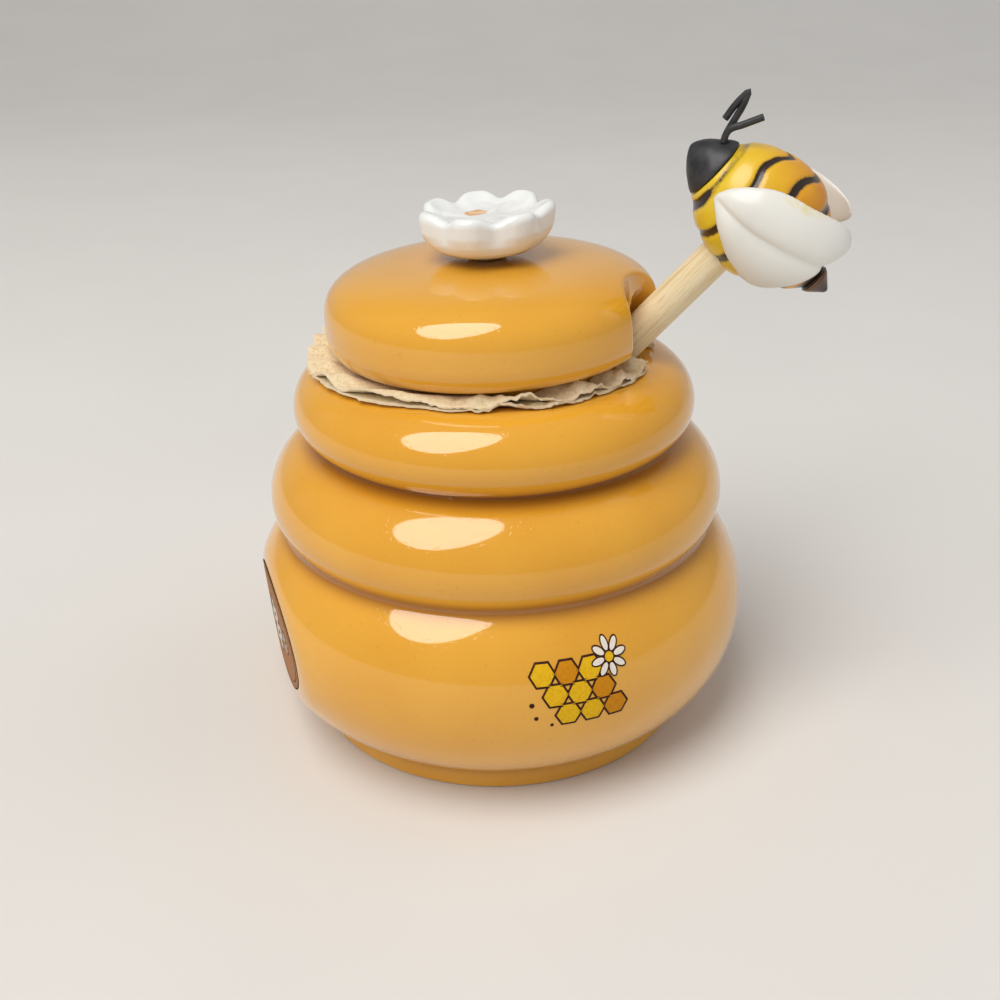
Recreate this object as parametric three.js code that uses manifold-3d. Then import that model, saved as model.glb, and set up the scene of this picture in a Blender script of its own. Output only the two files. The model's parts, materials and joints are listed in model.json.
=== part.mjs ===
import * as THREE from 'three';
import { mergeVertices } from 'three/addons/utils/BufferGeometryUtils.js';
import Module from 'manifold-3d';

// Ceramic beehive honey pot with a lift-off lid, a torn ring of single-face cardboard under the lid
// and a wooden dipper that carries a moulded bee. Millimetres, +Z up. The origin is the centre of the
// pot's flat foot, and +X points along the notch side, where the dipper leans out.

const wasm = await Module();
wasm.setup();

// Sizes shared by several pieces
const seatGap = 0.3; // between pieces that rest on or are glued to each other
const fullTurn = Math.PI * 2;
const degree = Math.PI / 180;

// Pot: three rolls, each an ellipse whose height and depth differ above and below its widest place
const lowerRoll = { height: 25.6, radius: 54, down: 21.7, up: 21.7, inDown: 18.2, inUp: 18.2 };
const middleRoll = { height: 51.1, radius: 48.3, down: 10, up: 13.6, inDown: 12, inUp: 16.2 };
const upperRoll = { height: 70.4, radius: 41.9, down: 7.6, up: 8.9, inDown: 10, inUp: 10.2 };
const valleyBlend = 3.1; // radius-like blend where two rolls meet
const rollFall = 3; // how fast a roll drops away outside its own height
const footRadius = 42.1;
const footBand = 4.9;
const footEdge = 0.8;
const potWall = 4.6;
const floorThickness = 5.4;
const floorCorner = 5;
const rimHeight = 79.2;
const mouthRadius = 29;
const rimEdge = 1.2;
const potSegments = 44;
const outerStep = 3.3;
const innerStep = 6;

// Flat for a printed label, cut into the lower roll
const labelFlatDepth = 4;
const labelFlatTurn = 204 * degree;
const labelFlatTilt = 9 * degree;

// Lid, in its own frame: its seat plane is z = 0
const lidRadius = 33.9;
const lidEdgeDown = 5.5; // from the widest place down to the seat
const lidEdgeIn = 4.3; // the seat's outer edge lies this far inside the widest place
const lidDome = 10.95; // from the widest place up to the knob's land
const lidWall = 4.4;
const lidLand = 7.2; // flat under the knob
const flangeRadius = 27.4;
const flangeWall = 2.8;
const flangeDrop = 6;
const flangeEdge = 0.8;
const lidTilt = 2.1 * degree; // the lid sits a little askew on the crushed cardboard
const lidSegments = 40;
const lidFullness = 3.45; // 2 would be an ellipse; more gives fuller shoulders

// Seven-petal flower knob, in the lid's frame: a shallow dish on a small foot
const petals = 7;
const knobTurn = 6.3 * degree;
const knobRadius = 13.1;
const knobPetalReach = 0.7; // petals swell by this and the clefts draw in by this
const knobHeight = 10.8;
const knobFoot = 5.5;
const knobLift = 2.2; // the dish's underside over the lid
const knobBelly = 9.6;
const knobRim = 1.1; // half thickness of the petal's edge
const knobDish = 2.2; // depth of the dish
const knobCentre = 2.6;
const knobDimple = 0.3;
const knobCleftDrop = 1.6;

// Cardboard: a flat liner with flutes on top, crushed where the lid rests low
const cardLiner = 0.8;
const cardHeight = 2.6;
const cardReach = 33.4;
const cardTab = 6.1; // how much further the torn ring reaches on the side away from the notch
const cardCrush = 0.5; // the lid presses the flutes down by this at the middle
const cardPlay = 0.7; // between the lid's flange and the ring
const cardHole = flangeRadius + cardPlay;
const fluteSpacing = 7.6;
const cardWander = 0.7; // how far the torn edge wanders
const cardSlotSide = 2.6; // clear of the dipper on each side
const cardSteps = 100;

// Dipper, in its own frame: z runs up the stick, x points down and away from the pot
const stickRadius = 3.5;
const stickLean = 42.3 * degree;
const stickRise = 7.64; // from the rim up to the middle of the notch
const stickPlay = 0.4; // between the stick and the mouth's edge that it leans on
const stickBelow = 96; // from the notch down to the tip
const stickInBee = 9;
const stickSegments = 24;
const headRadius = 10;
const headLength = 30;
const headGrooves = 6;
const headGrooveDepth = 3.4;
const headGrooveShare = 0.42; // of each fin's spacing that is groove
const headNeck = 5;
const headSocket = 16;
const headSegments = 24;
const notchClear = 2.5; // between the stick and the notch in the lid
const notchReach = 32;

// Bee, in the dipper's frame: it lies across the stick, its tail towards +x
const beeRise = 30.4; // from the notch up to the body's axis
const beeRadius = 12;
const beeWidest = 2; // from the stick's axis to the widest place
const beeNose = 16.3; // half-length of the ellipse that the front follows
const beeFront = 13.8; // from the widest place to the collar
const beeTaper = 17.5; // from the widest place to where the tail would close
const beeBack = 14.4; // from the widest place to the stinger
const beeGroove = 0.35;
const beeRoll = 6 * degree; // wings and antennae are turned this far round the body
const beeSegments = 24;
const beeHeadRadius = 6.3;
const beeHeadLength = 6.5;
const stingerLength = 3.4;
const antennaWire = 0.6;
const antennaSpread = 1.3;
const antennaBack = 2.5; // from the collar forward to the antennae
const antennaRise = 10.4;
const wingThickness = 2;
const wingClose = 20; // how slowly the wings close in behind the widest place
const wingRootDrop = 0.4; // of the wing's root over the body's axis
const upperLobe = { length: 26.4, width: 9.2, rise: 19.8 * degree, bow: 0.8 };
const lowerLobe = { length: 22.8, width: 8.8, rise: -0.6 * degree, bow: -3 };

// Colours
const paint = (name, color, roughness, metalness = 0) =>
  Object.assign(new THREE.MeshStandardMaterial({ color, roughness, metalness }), { name });
const amberGlaze = paint('amber_glaze', 0xe3a639, 0.14);
const whiteGlaze = paint('white_glaze', 0xf1efe9, 0.16);
const kraft = paint('kraft_cardboard', 0xc9ac82, 0.9);
const paleWood = paint('pale_wood', 0xd8b988, 0.6);
const beeYellow = paint('bee_yellow', 0xdc9a1c, 0.35);
const beeBlack = paint('bee_black', 0x1c1a19, 0.7);
const beeWhite = paint('bee_white', 0xf2f0ea, 0.3);
const beeAmber = paint('bee_amber', 0x7a4a14, 0.4);
const blackWire = paint('black_wire', 0x171615, 0.5, 0.3);

// Closed solids
function solid(geometry) {
  const bare = new THREE.BufferGeometry();
  bare.setAttribute('position', geometry.getAttribute('position'));
  if (geometry.index) bare.setIndex(geometry.index);
  const merged = mergeVertices(bare, 1e-4);
  const index = [];
  const old = merged.index.array;
  for (let i = 0; i < old.length; i += 3) {
    const [a, b, c] = [old[i], old[i + 1], old[i + 2]];
    if (a !== b && b !== c && c !== a) index.push(a, b, c);
  }
  const vertProperties = new Float32Array(merged.getAttribute('position').array);
  const build = () => new wasm.Manifold(new wasm.Mesh({ numProp: 3, vertProperties, triVerts: new Uint32Array(index) }));
  const body = build();
  if (body.volume() > 0) return body;
  for (let i = 0; i < index.length; i += 3) [index[i + 1], index[i + 2]] = [index[i + 2], index[i + 1]];
  return build();
}

function faces(body) {
  const mesh = body.getMesh();
  const geometry = new THREE.BufferGeometry();
  geometry.setAttribute('position', new THREE.BufferAttribute(new Float32Array(mesh.vertProperties), 3));
  geometry.setIndex(new THREE.BufferAttribute(new Uint32Array(mesh.triVerts), 1));
  geometry.computeVertexNormals();
  return geometry;
}

const cut = (geometry, ...cutters) =>
  faces(cutters.reduce((body, cutter) => body.subtract(solid(cutter)), solid(geometry)));

function piece(name, geometry, material) {
  const mesh = new THREE.Mesh(faces(solid(geometry)), material);
  mesh.name = name;
  return mesh;
}

// Revolves [radius, height] points about Z
function revolve(points, segments) {
  const lathe = new THREE.LatheGeometry(points.map(([r, z]) => new THREE.Vector2(r, z)), segments);
  return lathe.rotateX(Math.PI / 2);
}

// Rows of points, each row a closed loop, joined in order and capped at both ends
function loft(rows) {
  const columns = rows[0].length;
  const position = rows.flat(2);
  const index = [];
  for (let i = 0; i + 1 < rows.length; i++)
    for (let j = 0; j < columns; j++) {
      const k = (j + 1) % columns;
      const [a, b, c, d] = [i * columns + j, i * columns + k, (i + 1) * columns + k, (i + 1) * columns + j];
      index.push(a, b, c, a, c, d);
    }
  for (const [row, flip] of [[0, true], [rows.length - 1, false]]) {
    const centre = position.length / 3;
    const mean = [0, 1, 2].map((k) => rows[row].reduce((sum, p) => sum + p[k], 0) / columns);
    position.push(...mean);
    for (let j = 0; j < columns; j++) {
      const [a, b] = [row * columns + j, row * columns + ((j + 1) % columns)];
      index.push(...(flip ? [centre, b, a] : [centre, a, b]));
    }
  }
  const geometry = new THREE.BufferGeometry();
  geometry.setAttribute('position', new THREE.Float32BufferAttribute(position, 3));
  geometry.setIndex(index);
  return geometry;
}

function wire(points, radius) {
  const round = new THREE.Shape().absarc(0, 0, radius, 0, fullTurn);
  return new THREE.ExtrudeGeometry(round, {
    extrudePath: new THREE.CatmullRomCurve3(points, false, 'centripetal'), steps: (points.length - 1) * 3, curveSegments: 4,
  });
}

// Walks along a polyline and keeps a point every step
function resample(points, step) {
  const lengths = [0];
  for (let i = 1; i < points.length; i++)
    lengths.push(lengths[i - 1] + Math.hypot(points[i][0] - points[i - 1][0], points[i][1] - points[i - 1][1]));
  const total = lengths[lengths.length - 1];
  const count = Math.max(2, Math.round(total / step));
  const out = [];
  for (let n = 0, i = 1; n <= count; n++) {
    const want = (total * n) / count;
    while (i < points.length - 1 && lengths[i] < want) i++;
    const t = (want - lengths[i - 1]) / (lengths[i] - lengths[i - 1]);
    out.push([0, 1].map((k) => points[i - 1][k] + (points[i][k] - points[i - 1][k]) * t));
  }
  return out;
}

// A rounded corner from one point to the next, bulging towards the corner they share
function corner([r0, z0], [r1, z1], [rc, zc], steps = 3) {
  return Array.from({ length: steps + 1 }, (_, i) => {
    const t = i / steps;
    return [(1 - t) ** 2 * r0 + 2 * t * (1 - t) * rc + t * t * r1, (1 - t) ** 2 * z0 + 2 * t * (1 - t) * zc + t * t * z1];
  });
}

// Pot
function rollAt(roll, z) {
  const below = z < roll.height;
  const share = Math.abs(z - roll.height) / (below ? roll.down : roll.up);
  const depth = below ? roll.inDown : roll.inUp;
  const past = Math.max(0, share - 1) * (below ? roll.down : roll.up);
  return roll.radius - depth + depth * Math.sqrt(Math.max(0, 1 - share * share)) - past * rollFall;
}

function smoothMax(a, b) {
  const near = Math.max(0, valleyBlend - Math.abs(a - b)) / valleyBlend;
  return Math.max(a, b) + (near * near * valleyBlend) / 4;
}

const potRadiusAt = (z) => smoothMax(smoothMax(rollAt(lowerRoll, z), rollAt(middleRoll, z)), rollAt(upperRoll, z));

function potProfile() {
  const samples = 400;
  const creaseRadius = footRadius - footEdge / 2;
  let start = footBand;
  while (potRadiusAt(start) < creaseRadius && start < lowerRoll.height) start += (lowerRoll.height - footBand) / samples;
  const wall = Array.from({ length: samples + 1 }, (_, i) => {
    const z = start + ((rimHeight - start) * i) / samples;
    return [potRadiusAt(z), z];
  });
  const outside = resample(wall, outerStep);
  const inset = resample(wall, innerStep).map(([r, z], i, all) => {
    const [r0, z0] = all[Math.max(0, i - 1)];
    const [r1, z1] = all[Math.min(all.length - 1, i + 1)];
    const length = Math.hypot(r1 - r0, z1 - z0);
    return [r - ((z1 - z0) / length) * potWall, z + ((r1 - r0) / length) * potWall];
  });
  const ceiling = rimHeight - potWall;
  const inside = inset.filter(([r, z]) => z > floorThickness + floorCorner && z < ceiling && r > mouthRadius + rimEdge);
  const [lowRadius] = inside[0];
  const footTop = footRadius - footEdge / 4;
  const points = [
    [0, 0],
    ...corner([footRadius - footEdge, 0], [footRadius, footEdge], [footRadius, 0]),
    [footRadius, footBand - footEdge],
    [footTop, footBand],
    ...outside,
    ...corner([mouthRadius + rimEdge, rimHeight], [mouthRadius, rimHeight - rimEdge], [mouthRadius, rimHeight]),
    ...corner([mouthRadius, ceiling + rimEdge], [mouthRadius + rimEdge, ceiling], [mouthRadius, ceiling]),
    ...inside.reverse(),
    ...corner([lowRadius, floorThickness + floorCorner], [lowRadius - floorCorner * 2, floorThickness],
      [lowRadius - floorCorner / 2, floorThickness]),
    [0, floorThickness],
  ];
  return points;
}

function makePot() {
  const side = lowerRoll.radius;
  const block = new THREE.BoxGeometry(side, side, side).translate(side * 1.5 - labelFlatDepth, 0, 0)
    .rotateY(labelFlatTilt).translate(0, 0, lowerRoll.height).rotateZ(labelFlatTurn);
  return cut(revolve(potProfile(), potSegments), block);
}

// Lid, with the notch cut along the stick
function lidProfile() {
  const seatRadius = lidRadius - lidEdgeIn;
  const edge = Array.from({ length: 6 }, (_, i) => {
    const a = ((i + 1) / 6) * (Math.PI / 2);
    return [seatRadius + lidEdgeIn * Math.sin(a), lidEdgeDown - lidEdgeDown * Math.cos(a)];
  });
  const round = 2 / lidFullness;
  const domeEnd = Math.acos((lidLand / lidRadius) ** (1 / round));
  const dome = Array.from({ length: 10 }, (_, i) => {
    const a = (((i + 1) / 10) ** 1.15) * domeEnd;
    return [lidRadius * Math.cos(a) ** round, lidEdgeDown + lidDome * Math.sin(a) ** round];
  });
  const landHeight = dome[dome.length - 1][1];
  const bore = flangeRadius - flangeWall;
  const inner = Array.from({ length: 6 }, (_, i) => {
    const a = (i / 6) * (Math.PI / 2);
    return [bore * Math.cos(a) ** 0.8, lidEdgeDown - lidWall / 2 + (landHeight - lidWall / 2 - lidEdgeDown) * Math.sin(a)];
  });
  return [
    [0, landHeight - lidWall],
    ...inner.reverse().map(([r, z]) => [r, Math.min(z, landHeight - lidWall)]),
    [bore, -flangeDrop + flangeEdge],
    [bore + flangeEdge, -flangeDrop],
    [flangeRadius - flangeEdge, -flangeDrop],
    [flangeRadius, -flangeDrop + flangeEdge],
    [flangeRadius, 0],
    [seatRadius, 0],
    ...edge,
    ...dome,
    [0, landHeight],
  ];
}

const lidSeat = rimHeight + seatGap * 2 + cardHeight - cardCrush;
const lidTop = lidProfile().at(-1)[1];

// The stick leans on the mouth's rounded edge and goes up through the notch
function dipperFrame() {
  const [c, s] = [Math.cos(stickLean), Math.sin(stickLean)];
  const fromCorner = stickRadius + stickPlay - rimEdge * (c + s - 1);
  const group = new THREE.Group();
  group.position.set(mouthRadius - fromCorner / c + (stickRise * s) / c, 0, rimHeight + stickRise);
  group.rotation.y = stickLean;
  group.updateMatrixWorld(true);
  return group;
}

function lidFrame() {
  const group = new THREE.Group();
  group.position.set(0, 0, lidSeat);
  group.rotation.y = -lidTilt;
  group.updateMatrixWorld(true);
  return group;
}

function notchCutter() {
  const half = stickRadius + notchClear;
  const shape = new THREE.Shape();
  shape.moveTo(notchReach, half);
  shape.lineTo(0, half);
  shape.absarc(0, 0, half, Math.PI / 2, -Math.PI / 2, false);
  shape.lineTo(notchReach, -half);
  shape.closePath();
  const cutter = new THREE.ExtrudeGeometry(shape, { depth: notchReach * 2, bevelEnabled: false, curveSegments: 10 });
  cutter.translate(0, 0, -notchReach).applyMatrix4(dipperFrame().matrixWorld);
  return cutter;
}

function makeLid() {
  const intoLid = lidFrame().matrixWorld.clone().invert();
  return cut(revolve(lidProfile(), lidSegments), notchCutter().applyMatrix4(intoLid));
}

// Flower knob: a dished disc whose petals follow a cosine, seven to the turn
function makeKnob() {
  const columns = petals * 6;
  const wall = knobHeight - knobLift;
  const reach = knobRadius - knobBelly;
  const outline = [
    { r: knobFoot - flangeEdge, z: 0, petal: 0 },
    { r: knobFoot, z: flangeEdge / 2, petal: 0 },
    { r: knobFoot, z: knobLift - knobDimple, petal: 0 },
    { r: knobBelly - knobRim, z: knobLift, petal: 0.05 },
    { r: knobBelly, z: knobLift + knobRim / 2, petal: 0.15 },
    { r: knobBelly + reach * 0.6, z: knobLift + wall * 0.26, petal: 0.5 },
    { r: knobBelly + reach * 0.9, z: knobLift + wall * 0.55, petal: 0.85 },
    { r: knobRadius, z: knobLift + wall * 0.8, petal: 1 },
    { r: knobRadius - knobRim * 0.3, z: knobHeight - knobRim * 0.3, petal: 1 },
    { r: knobRadius - knobRim, z: knobHeight, petal: 1 },
    { r: knobRadius - knobRim * 2, z: knobHeight - knobDish * 0.25, petal: 0.95 },
    { r: knobBelly * 0.8, z: knobHeight - knobDish * 0.85, petal: 0.5 },
    { r: knobCentre * 1.4, z: knobHeight - knobDish, petal: 0.1 },
    { r: knobCentre, z: knobHeight - knobDish + knobDimple, petal: 0 },
  ];
  const rows = outline.map(({ r, z, petal }) => Array.from({ length: columns }, (_, j) => {
    const angle = (j / columns) * fullTurn;
    const wave = Math.cos(angle * petals);
    const swell = wave > 0 ? wave ** 0.6 : -((-wave) ** 1.4);
    const radius = r + petal * knobPetalReach * swell;
    const drop = petal * knobCleftDrop * (z / knobHeight) ** 3 * ((1 - wave) / 2) ** 1.6;
    return [radius * Math.cos(angle + knobTurn), radius * Math.sin(angle + knobTurn), z - drop];
  }));
  return loft(rows);
}

// Cardboard ring, open where the stick passes; flutes run along X
function makeCard() {
  const half = Math.asin((stickRadius + cardSlotSide) / cardHole);
  const lidSlope = Math.tan(lidTilt);
  const rows = [];
  for (let i = 0; i <= cardSteps; i++) {
    const angle = half + ((fullTurn - half * 2) * i) / cardSteps;
    const [c, s] = [Math.cos(angle), Math.sin(angle)];
    const torn = cardWander * (Math.sin(angle * 5 + 1) * 0.6 + Math.sin(angle * 11) * 0.4);
    const outer = cardReach + (cardTab / 2) * (c * c - c) + torn;
    const seatEdge = lidRadius - lidEdgeIn;
    const halfway = (seatEdge + Math.min(outer, lidRadius)) / 2;
    const section = [cardHole, seatEdge, halfway, outer].map((r) => {
      const past = Math.min(1, Math.max(0, r - seatEdge) / lidEdgeIn);
      const rise = (lidEdgeDown * (1 - Math.sqrt(1 - past * past))) / 2;
      const crest = Math.min(cardHeight, cardHeight - cardCrush + r * c * lidSlope + rise);
      const flute = 0.5 + 0.5 * Math.cos((r * s * fullTurn) / fluteSpacing);
      return [r * c, r * s, cardLiner + (crest - cardLiner) * flute];
    });
    rows.push([...section, [outer * c, outer * s, 0], [cardHole * c, cardHole * s, 0]]);
  }
  return loft(rows);
}

// Dipper
const headTop = headLength - stickBelow;

function makeHandle() {
  const bottom = headTop - headSocket;
  const top = beeRise - beeRadius + stickInBee;
  const chamfer = stickRadius / 6;
  return revolve([[0, bottom], [stickRadius, bottom], [stickRadius, top - chamfer],
    [stickRadius - chamfer, top], [0, top]], stickSegments);
}

function makeHead() {
  const bore = stickRadius + seatGap;
  const socketFloor = headTop - headSocket - seatGap;
  const tip = -stickBelow;
  const cap = headRadius / 2.5;
  const shoulder = headTop - headNeck;
  const spacing = (shoulder - tip - cap) / headGrooves;
  const points = [[0, tip], ...corner([cap, tip], [headRadius * 0.86, tip + cap * 0.9], [headRadius * 0.8, tip])];
  for (let i = 0; i < headGrooves; i++) {
    const z = tip + cap + spacing * i;
    const swell = headRadius * (0.9 + 0.1 * Math.sin(((i + 0.5) / headGrooves) * Math.PI));
    const groove = spacing * headGrooveShare;
    const land = spacing - groove;
    points.push([swell, z + land * 0.12], [swell, z + land * 0.88], [swell - headGrooveDepth, z + land + groove * 0.2],
      [swell - headGrooveDepth, z + land + groove * 0.8]);
  }
  points.push([headRadius * 0.88, shoulder + headNeck * 0.15], [headRadius * 0.82, shoulder + headNeck * 0.55],
    [bore + seatGap * 4, headTop], [bore, headTop], [bore, socketFloor], [0, socketFloor]);
  return revolve(points, headSegments);
}

// Bee body: an egg revolved about the dipper's x, with shallow grooves between its bands
const beeStart = beeWidest - beeFront;
const beeEnd = beeWidest + beeBack;
const bandShares = [0.045, 0.227, 0.436, 0.638, 0.84];

function bodyRadius(x) {
  const from = x - beeWidest;
  if (from < 0) return beeRadius * Math.sqrt(Math.max(0, 1 - (from / beeNose) ** 2));
  return beeRadius * Math.max(0, 1 - (from / beeTaper) ** 1.9);
}

function makeBeeBody() {
  const length = beeEnd - beeStart;
  const places = new Set([0, 0.1, 0.15, 0.32, 0.53, 0.74, 0.92, 1]);
  for (const share of bandShares) for (const side of [-0.022, 0, 0.022]) places.add(share + side);
  const profile = [...places].sort((a, b) => a - b).map((share) => {
    const x = beeStart + length * share;
    return [bodyRadius(x) - (bandShares.includes(share) ? beeGroove : 0), x];
  });
  const egg = revolve([[0, beeStart], ...profile, [0, beeEnd]], beeSegments).rotateY(Math.PI / 2).translate(0, 0, beeRise);
  const socketTop = beeRise - beeRadius + stickInBee + seatGap;
  const bore = stickRadius + seatGap;
  return cut(egg, revolve([[0, 0], [bore, 0], [bore, socketTop], [0, socketTop]], stickSegments));
}

const headRadiusAt = (forward) => beeHeadRadius * (1 - (forward / beeHeadLength) ** 1.9);

function makeBeeHead() {
  const rows = 8;
  const profile = Array.from({ length: rows + 1 }, (_, i) => {
    const forward = beeHeadLength * Math.sin((i / rows) * (Math.PI / 2));
    return [i < rows ? headRadiusAt(forward) : 0, forward];
  });
  return revolve([[0, 0], ...profile], beeSegments).rotateY(-Math.PI / 2).translate(beeStart - seatGap, 0, beeRise);
}

function makeStinger() {
  const base = bodyRadius(beeEnd);
  return revolve([[0, 0], [base, 0], [base * 0.7, stingerLength * 0.5], [base * 0.2, stingerLength], [0, stingerLength]],
    beeSegments / 2).rotateY(Math.PI / 2).translate(beeEnd + seatGap, 0, beeRise);
}

// Antenna wires, as shares of their rise: one stands with its end bent back, the other folds down again
const nearAntennaShares = [[0, 0], [-0.09, 0.34], [0.02, 0.55], [0.2, 0.86]];
const farAntennaShares = [[0, 0], [-0.1, 0.4], [-0.2, 0.72], [-0.3, 1], [-0.34, 0.7], [-0.28, 0.36]];

function makeAntenna(side, shares) {
  const x = beeStart - seatGap - antennaBack;
  const foot = Math.sqrt(headRadiusAt(antennaBack) ** 2 - antennaSpread ** 2) + seatGap * 1.5;
  return wire(shares.map(([u, v], i) => new THREE.Vector3(x + u * antennaRise,
    side * antennaSpread * (1 + (0.5 * i) / shares.length), foot + v * antennaRise)), antennaWire)
    .rotateX(beeRoll).translate(0, 0, beeRise);
}

// Wing: two pillow-shaped lobes that hug the body, each lofted along its own line from the root.
// The shares give each lobe's half width along that line.
const upperLobeShares = [[0, 0.2], [0.1, 0.37], [0.23, 0.68], [0.36, 0.89], [0.49, 1], [0.63, 0.98], [0.77, 0.92],
  [0.89, 0.7], [0.97, 0.42], [1, 0.15]];
const lowerLobeShares = [[0, 0.2], [0.08, 0.36], [0.2, 0.53], [0.35, 0.7], [0.52, 0.88], [0.68, 0.99], [0.79, 1],
  [0.91, 0.82], [0.98, 0.45], [1, 0.15]];
const lobeColumns = 10;

function wingInside(x, up) {
  const past = Math.max(0, x - beeWidest) / wingClose;
  const hug = (x < beeWidest ? bodyRadius(x) : beeRadius * Math.sqrt(Math.max(0, 1 - past * past))) + seatGap * 1.5;
  return Math.sqrt(Math.max(stickRadius ** 2, hug * hug - (up * 0.92) ** 2));
}

function makeLobe({ length, width, rise, bow }, shares, side, proud) {
  const [along, up] = [Math.cos(rise), Math.sin(rise)];
  return loft(shares.map(([share, wide]) => Array.from({ length: lobeColumns }, (_, j) => {
    const turn = (j / lobeColumns) * fullTurn;
    const across = (width / 2) * wide * Math.cos(turn) + bow * 4 * share * (1 - share);
    const x = beeStart + antennaBack + length * share * along - across * up;
    const z = wingRootDrop + length * share * up + across * along;
    const thick = (wingThickness / 2) * (0.6 + 0.4 * wide) * proud;
    return [x, side * (wingInside(x, z) + thick * (1 + Math.sin(turn))), z];
  })));
}

function makeWing(side) {
  const upper = solid(makeLobe(upperLobe, upperLobeShares, side, 1.25));
  const lower = solid(makeLobe(lowerLobe, lowerLobeShares, side, 0.9));
  return faces(upper.add(lower)).rotateX(beeRoll).translate(0, 0, beeRise);
}

// Assembly
const honeyPot = new THREE.Group();
honeyPot.name = 'honey_pot';
honeyPot.add(piece('pot_body', makePot(), amberGlaze));

const card = piece('cardboard_ring', makeCard(), kraft);
card.position.z = rimHeight + seatGap;
honeyPot.add(card);

const lid = lidFrame();
lid.add(piece('lid', makeLid(), amberGlaze));
const knob = piece('flower_knob', makeKnob(), whiteGlaze);
knob.position.z = lidTop + seatGap;
lid.add(knob);
honeyPot.add(lid);

const dipper = dipperFrame();
dipper.add(piece('dipper_handle', makeHandle(), paleWood));
dipper.add(piece('dipper_head', makeHead(), paleWood));
dipper.add(piece('bee_body', makeBeeBody(), beeYellow));
dipper.add(piece('bee_head', makeBeeHead(), beeBlack));
dipper.add(piece('bee_wing_near', makeWing(-1), beeWhite));
dipper.add(piece('bee_wing_far', makeWing(1), beeWhite));
dipper.add(piece('bee_antenna_near', makeAntenna(-1, nearAntennaShares), blackWire));
dipper.add(piece('bee_antenna_far', makeAntenna(1, farAntennaShares), blackWire));
dipper.add(piece('bee_stinger', makeStinger(), beeAmber));
honeyPot.add(dipper);

export default honeyPot;
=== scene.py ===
"""Beehive honey pot: a glazed pot and lid, a torn ring of corrugated board and a dipper with a moulded bee.

Shapes are worked out in millimetres, each in its own piece's frame. publish() turns them to metres and
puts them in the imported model's frame, so every finished object sits at the origin.
"""

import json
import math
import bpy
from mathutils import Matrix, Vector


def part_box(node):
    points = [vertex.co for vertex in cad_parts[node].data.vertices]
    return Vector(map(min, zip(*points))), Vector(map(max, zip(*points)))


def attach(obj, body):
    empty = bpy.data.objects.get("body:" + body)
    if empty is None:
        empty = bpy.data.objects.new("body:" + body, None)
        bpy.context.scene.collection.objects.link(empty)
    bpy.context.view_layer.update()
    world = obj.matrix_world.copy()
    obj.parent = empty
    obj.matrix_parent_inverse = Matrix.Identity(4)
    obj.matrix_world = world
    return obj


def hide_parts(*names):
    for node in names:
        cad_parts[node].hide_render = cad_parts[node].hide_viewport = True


bl_info = {
    "name": "Beehive Honey Pot",
    "version": (1, 0, 0),
    "blender": (4, 5, 0),
    "location": "3D View > Sidebar > Honey Pot",
    "description": "Builds a glazed honey pot with its lid, packing ring and bee dipper",
    "category": "Add Mesh",
}

import bmesh
import bpy
from bpy.props import FloatProperty, FloatVectorProperty, IntProperty, PointerProperty
from mathutils import Matrix, Vector, noise
from mathutils.kdtree import KDTree

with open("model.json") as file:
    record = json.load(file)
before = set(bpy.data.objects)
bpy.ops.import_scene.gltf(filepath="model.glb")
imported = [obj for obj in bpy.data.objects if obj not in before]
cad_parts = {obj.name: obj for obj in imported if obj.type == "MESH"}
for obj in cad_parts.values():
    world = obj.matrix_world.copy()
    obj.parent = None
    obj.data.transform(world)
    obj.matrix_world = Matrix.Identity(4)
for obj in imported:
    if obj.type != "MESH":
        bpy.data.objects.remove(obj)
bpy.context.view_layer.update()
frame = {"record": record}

MM = 0.001
TURN = math.tau


def linear(code):
    """An sRGB hex code as linear red, green, blue and an alpha of 1."""
    parts = [int(code[i : i + 2], 16) / 255 for i in (0, 2, 4)]
    return tuple(p / 12.92 if p <= 0.04045 else ((p + 0.055) / 1.055) ** 2.4 for p in parts) + (1.0,)


def length(name, description, default):
    """A length in metres, given here in millimetres."""
    return FloatProperty(
        name=name, description=description, default=default * MM, min=0.0, unit="LENGTH", precision=4
    )


def colour(name, description, code):
    """A colour that the shaders read, given here as an sRGB hex code."""
    return FloatVectorProperty(
        name=name, description=description, default=linear(code), size=4, min=0.0, max=1.0, subtype="COLOR"
    )


class HONEYPOT_PG_pot(bpy.types.PropertyGroup):
    """Sizes of the pot."""

    belly: length("Belly radius", "Widest radius of the lowest roll", 54.0)
    middle: length("Middle radius", "Widest radius of the middle roll", 48.3)
    shoulder: length("Shoulder radius", "Widest radius of the top roll", 41.9)
    valley: length("Valley blend", "How softly one roll runs into the next", 3.1)
    foot: length("Foot radius", "Radius of the band that the pot stands on", 42.1)
    band: length("Foot band", "Height of the band that the pot stands on", 4.9)
    wall: length("Wall", "Thickness of the pot's wall", 4.6)
    floor: length("Floor", "Thickness of the pot's floor", 5.4)
    rim: length("Rim height", "Height of the mouth above the table", 79.2)
    mouth: length("Mouth radius", "Inside radius of the mouth", 29.0)
    label_depth: length("Label depth", "How deep the label's flat cuts into the belly", 4.0)


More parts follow.
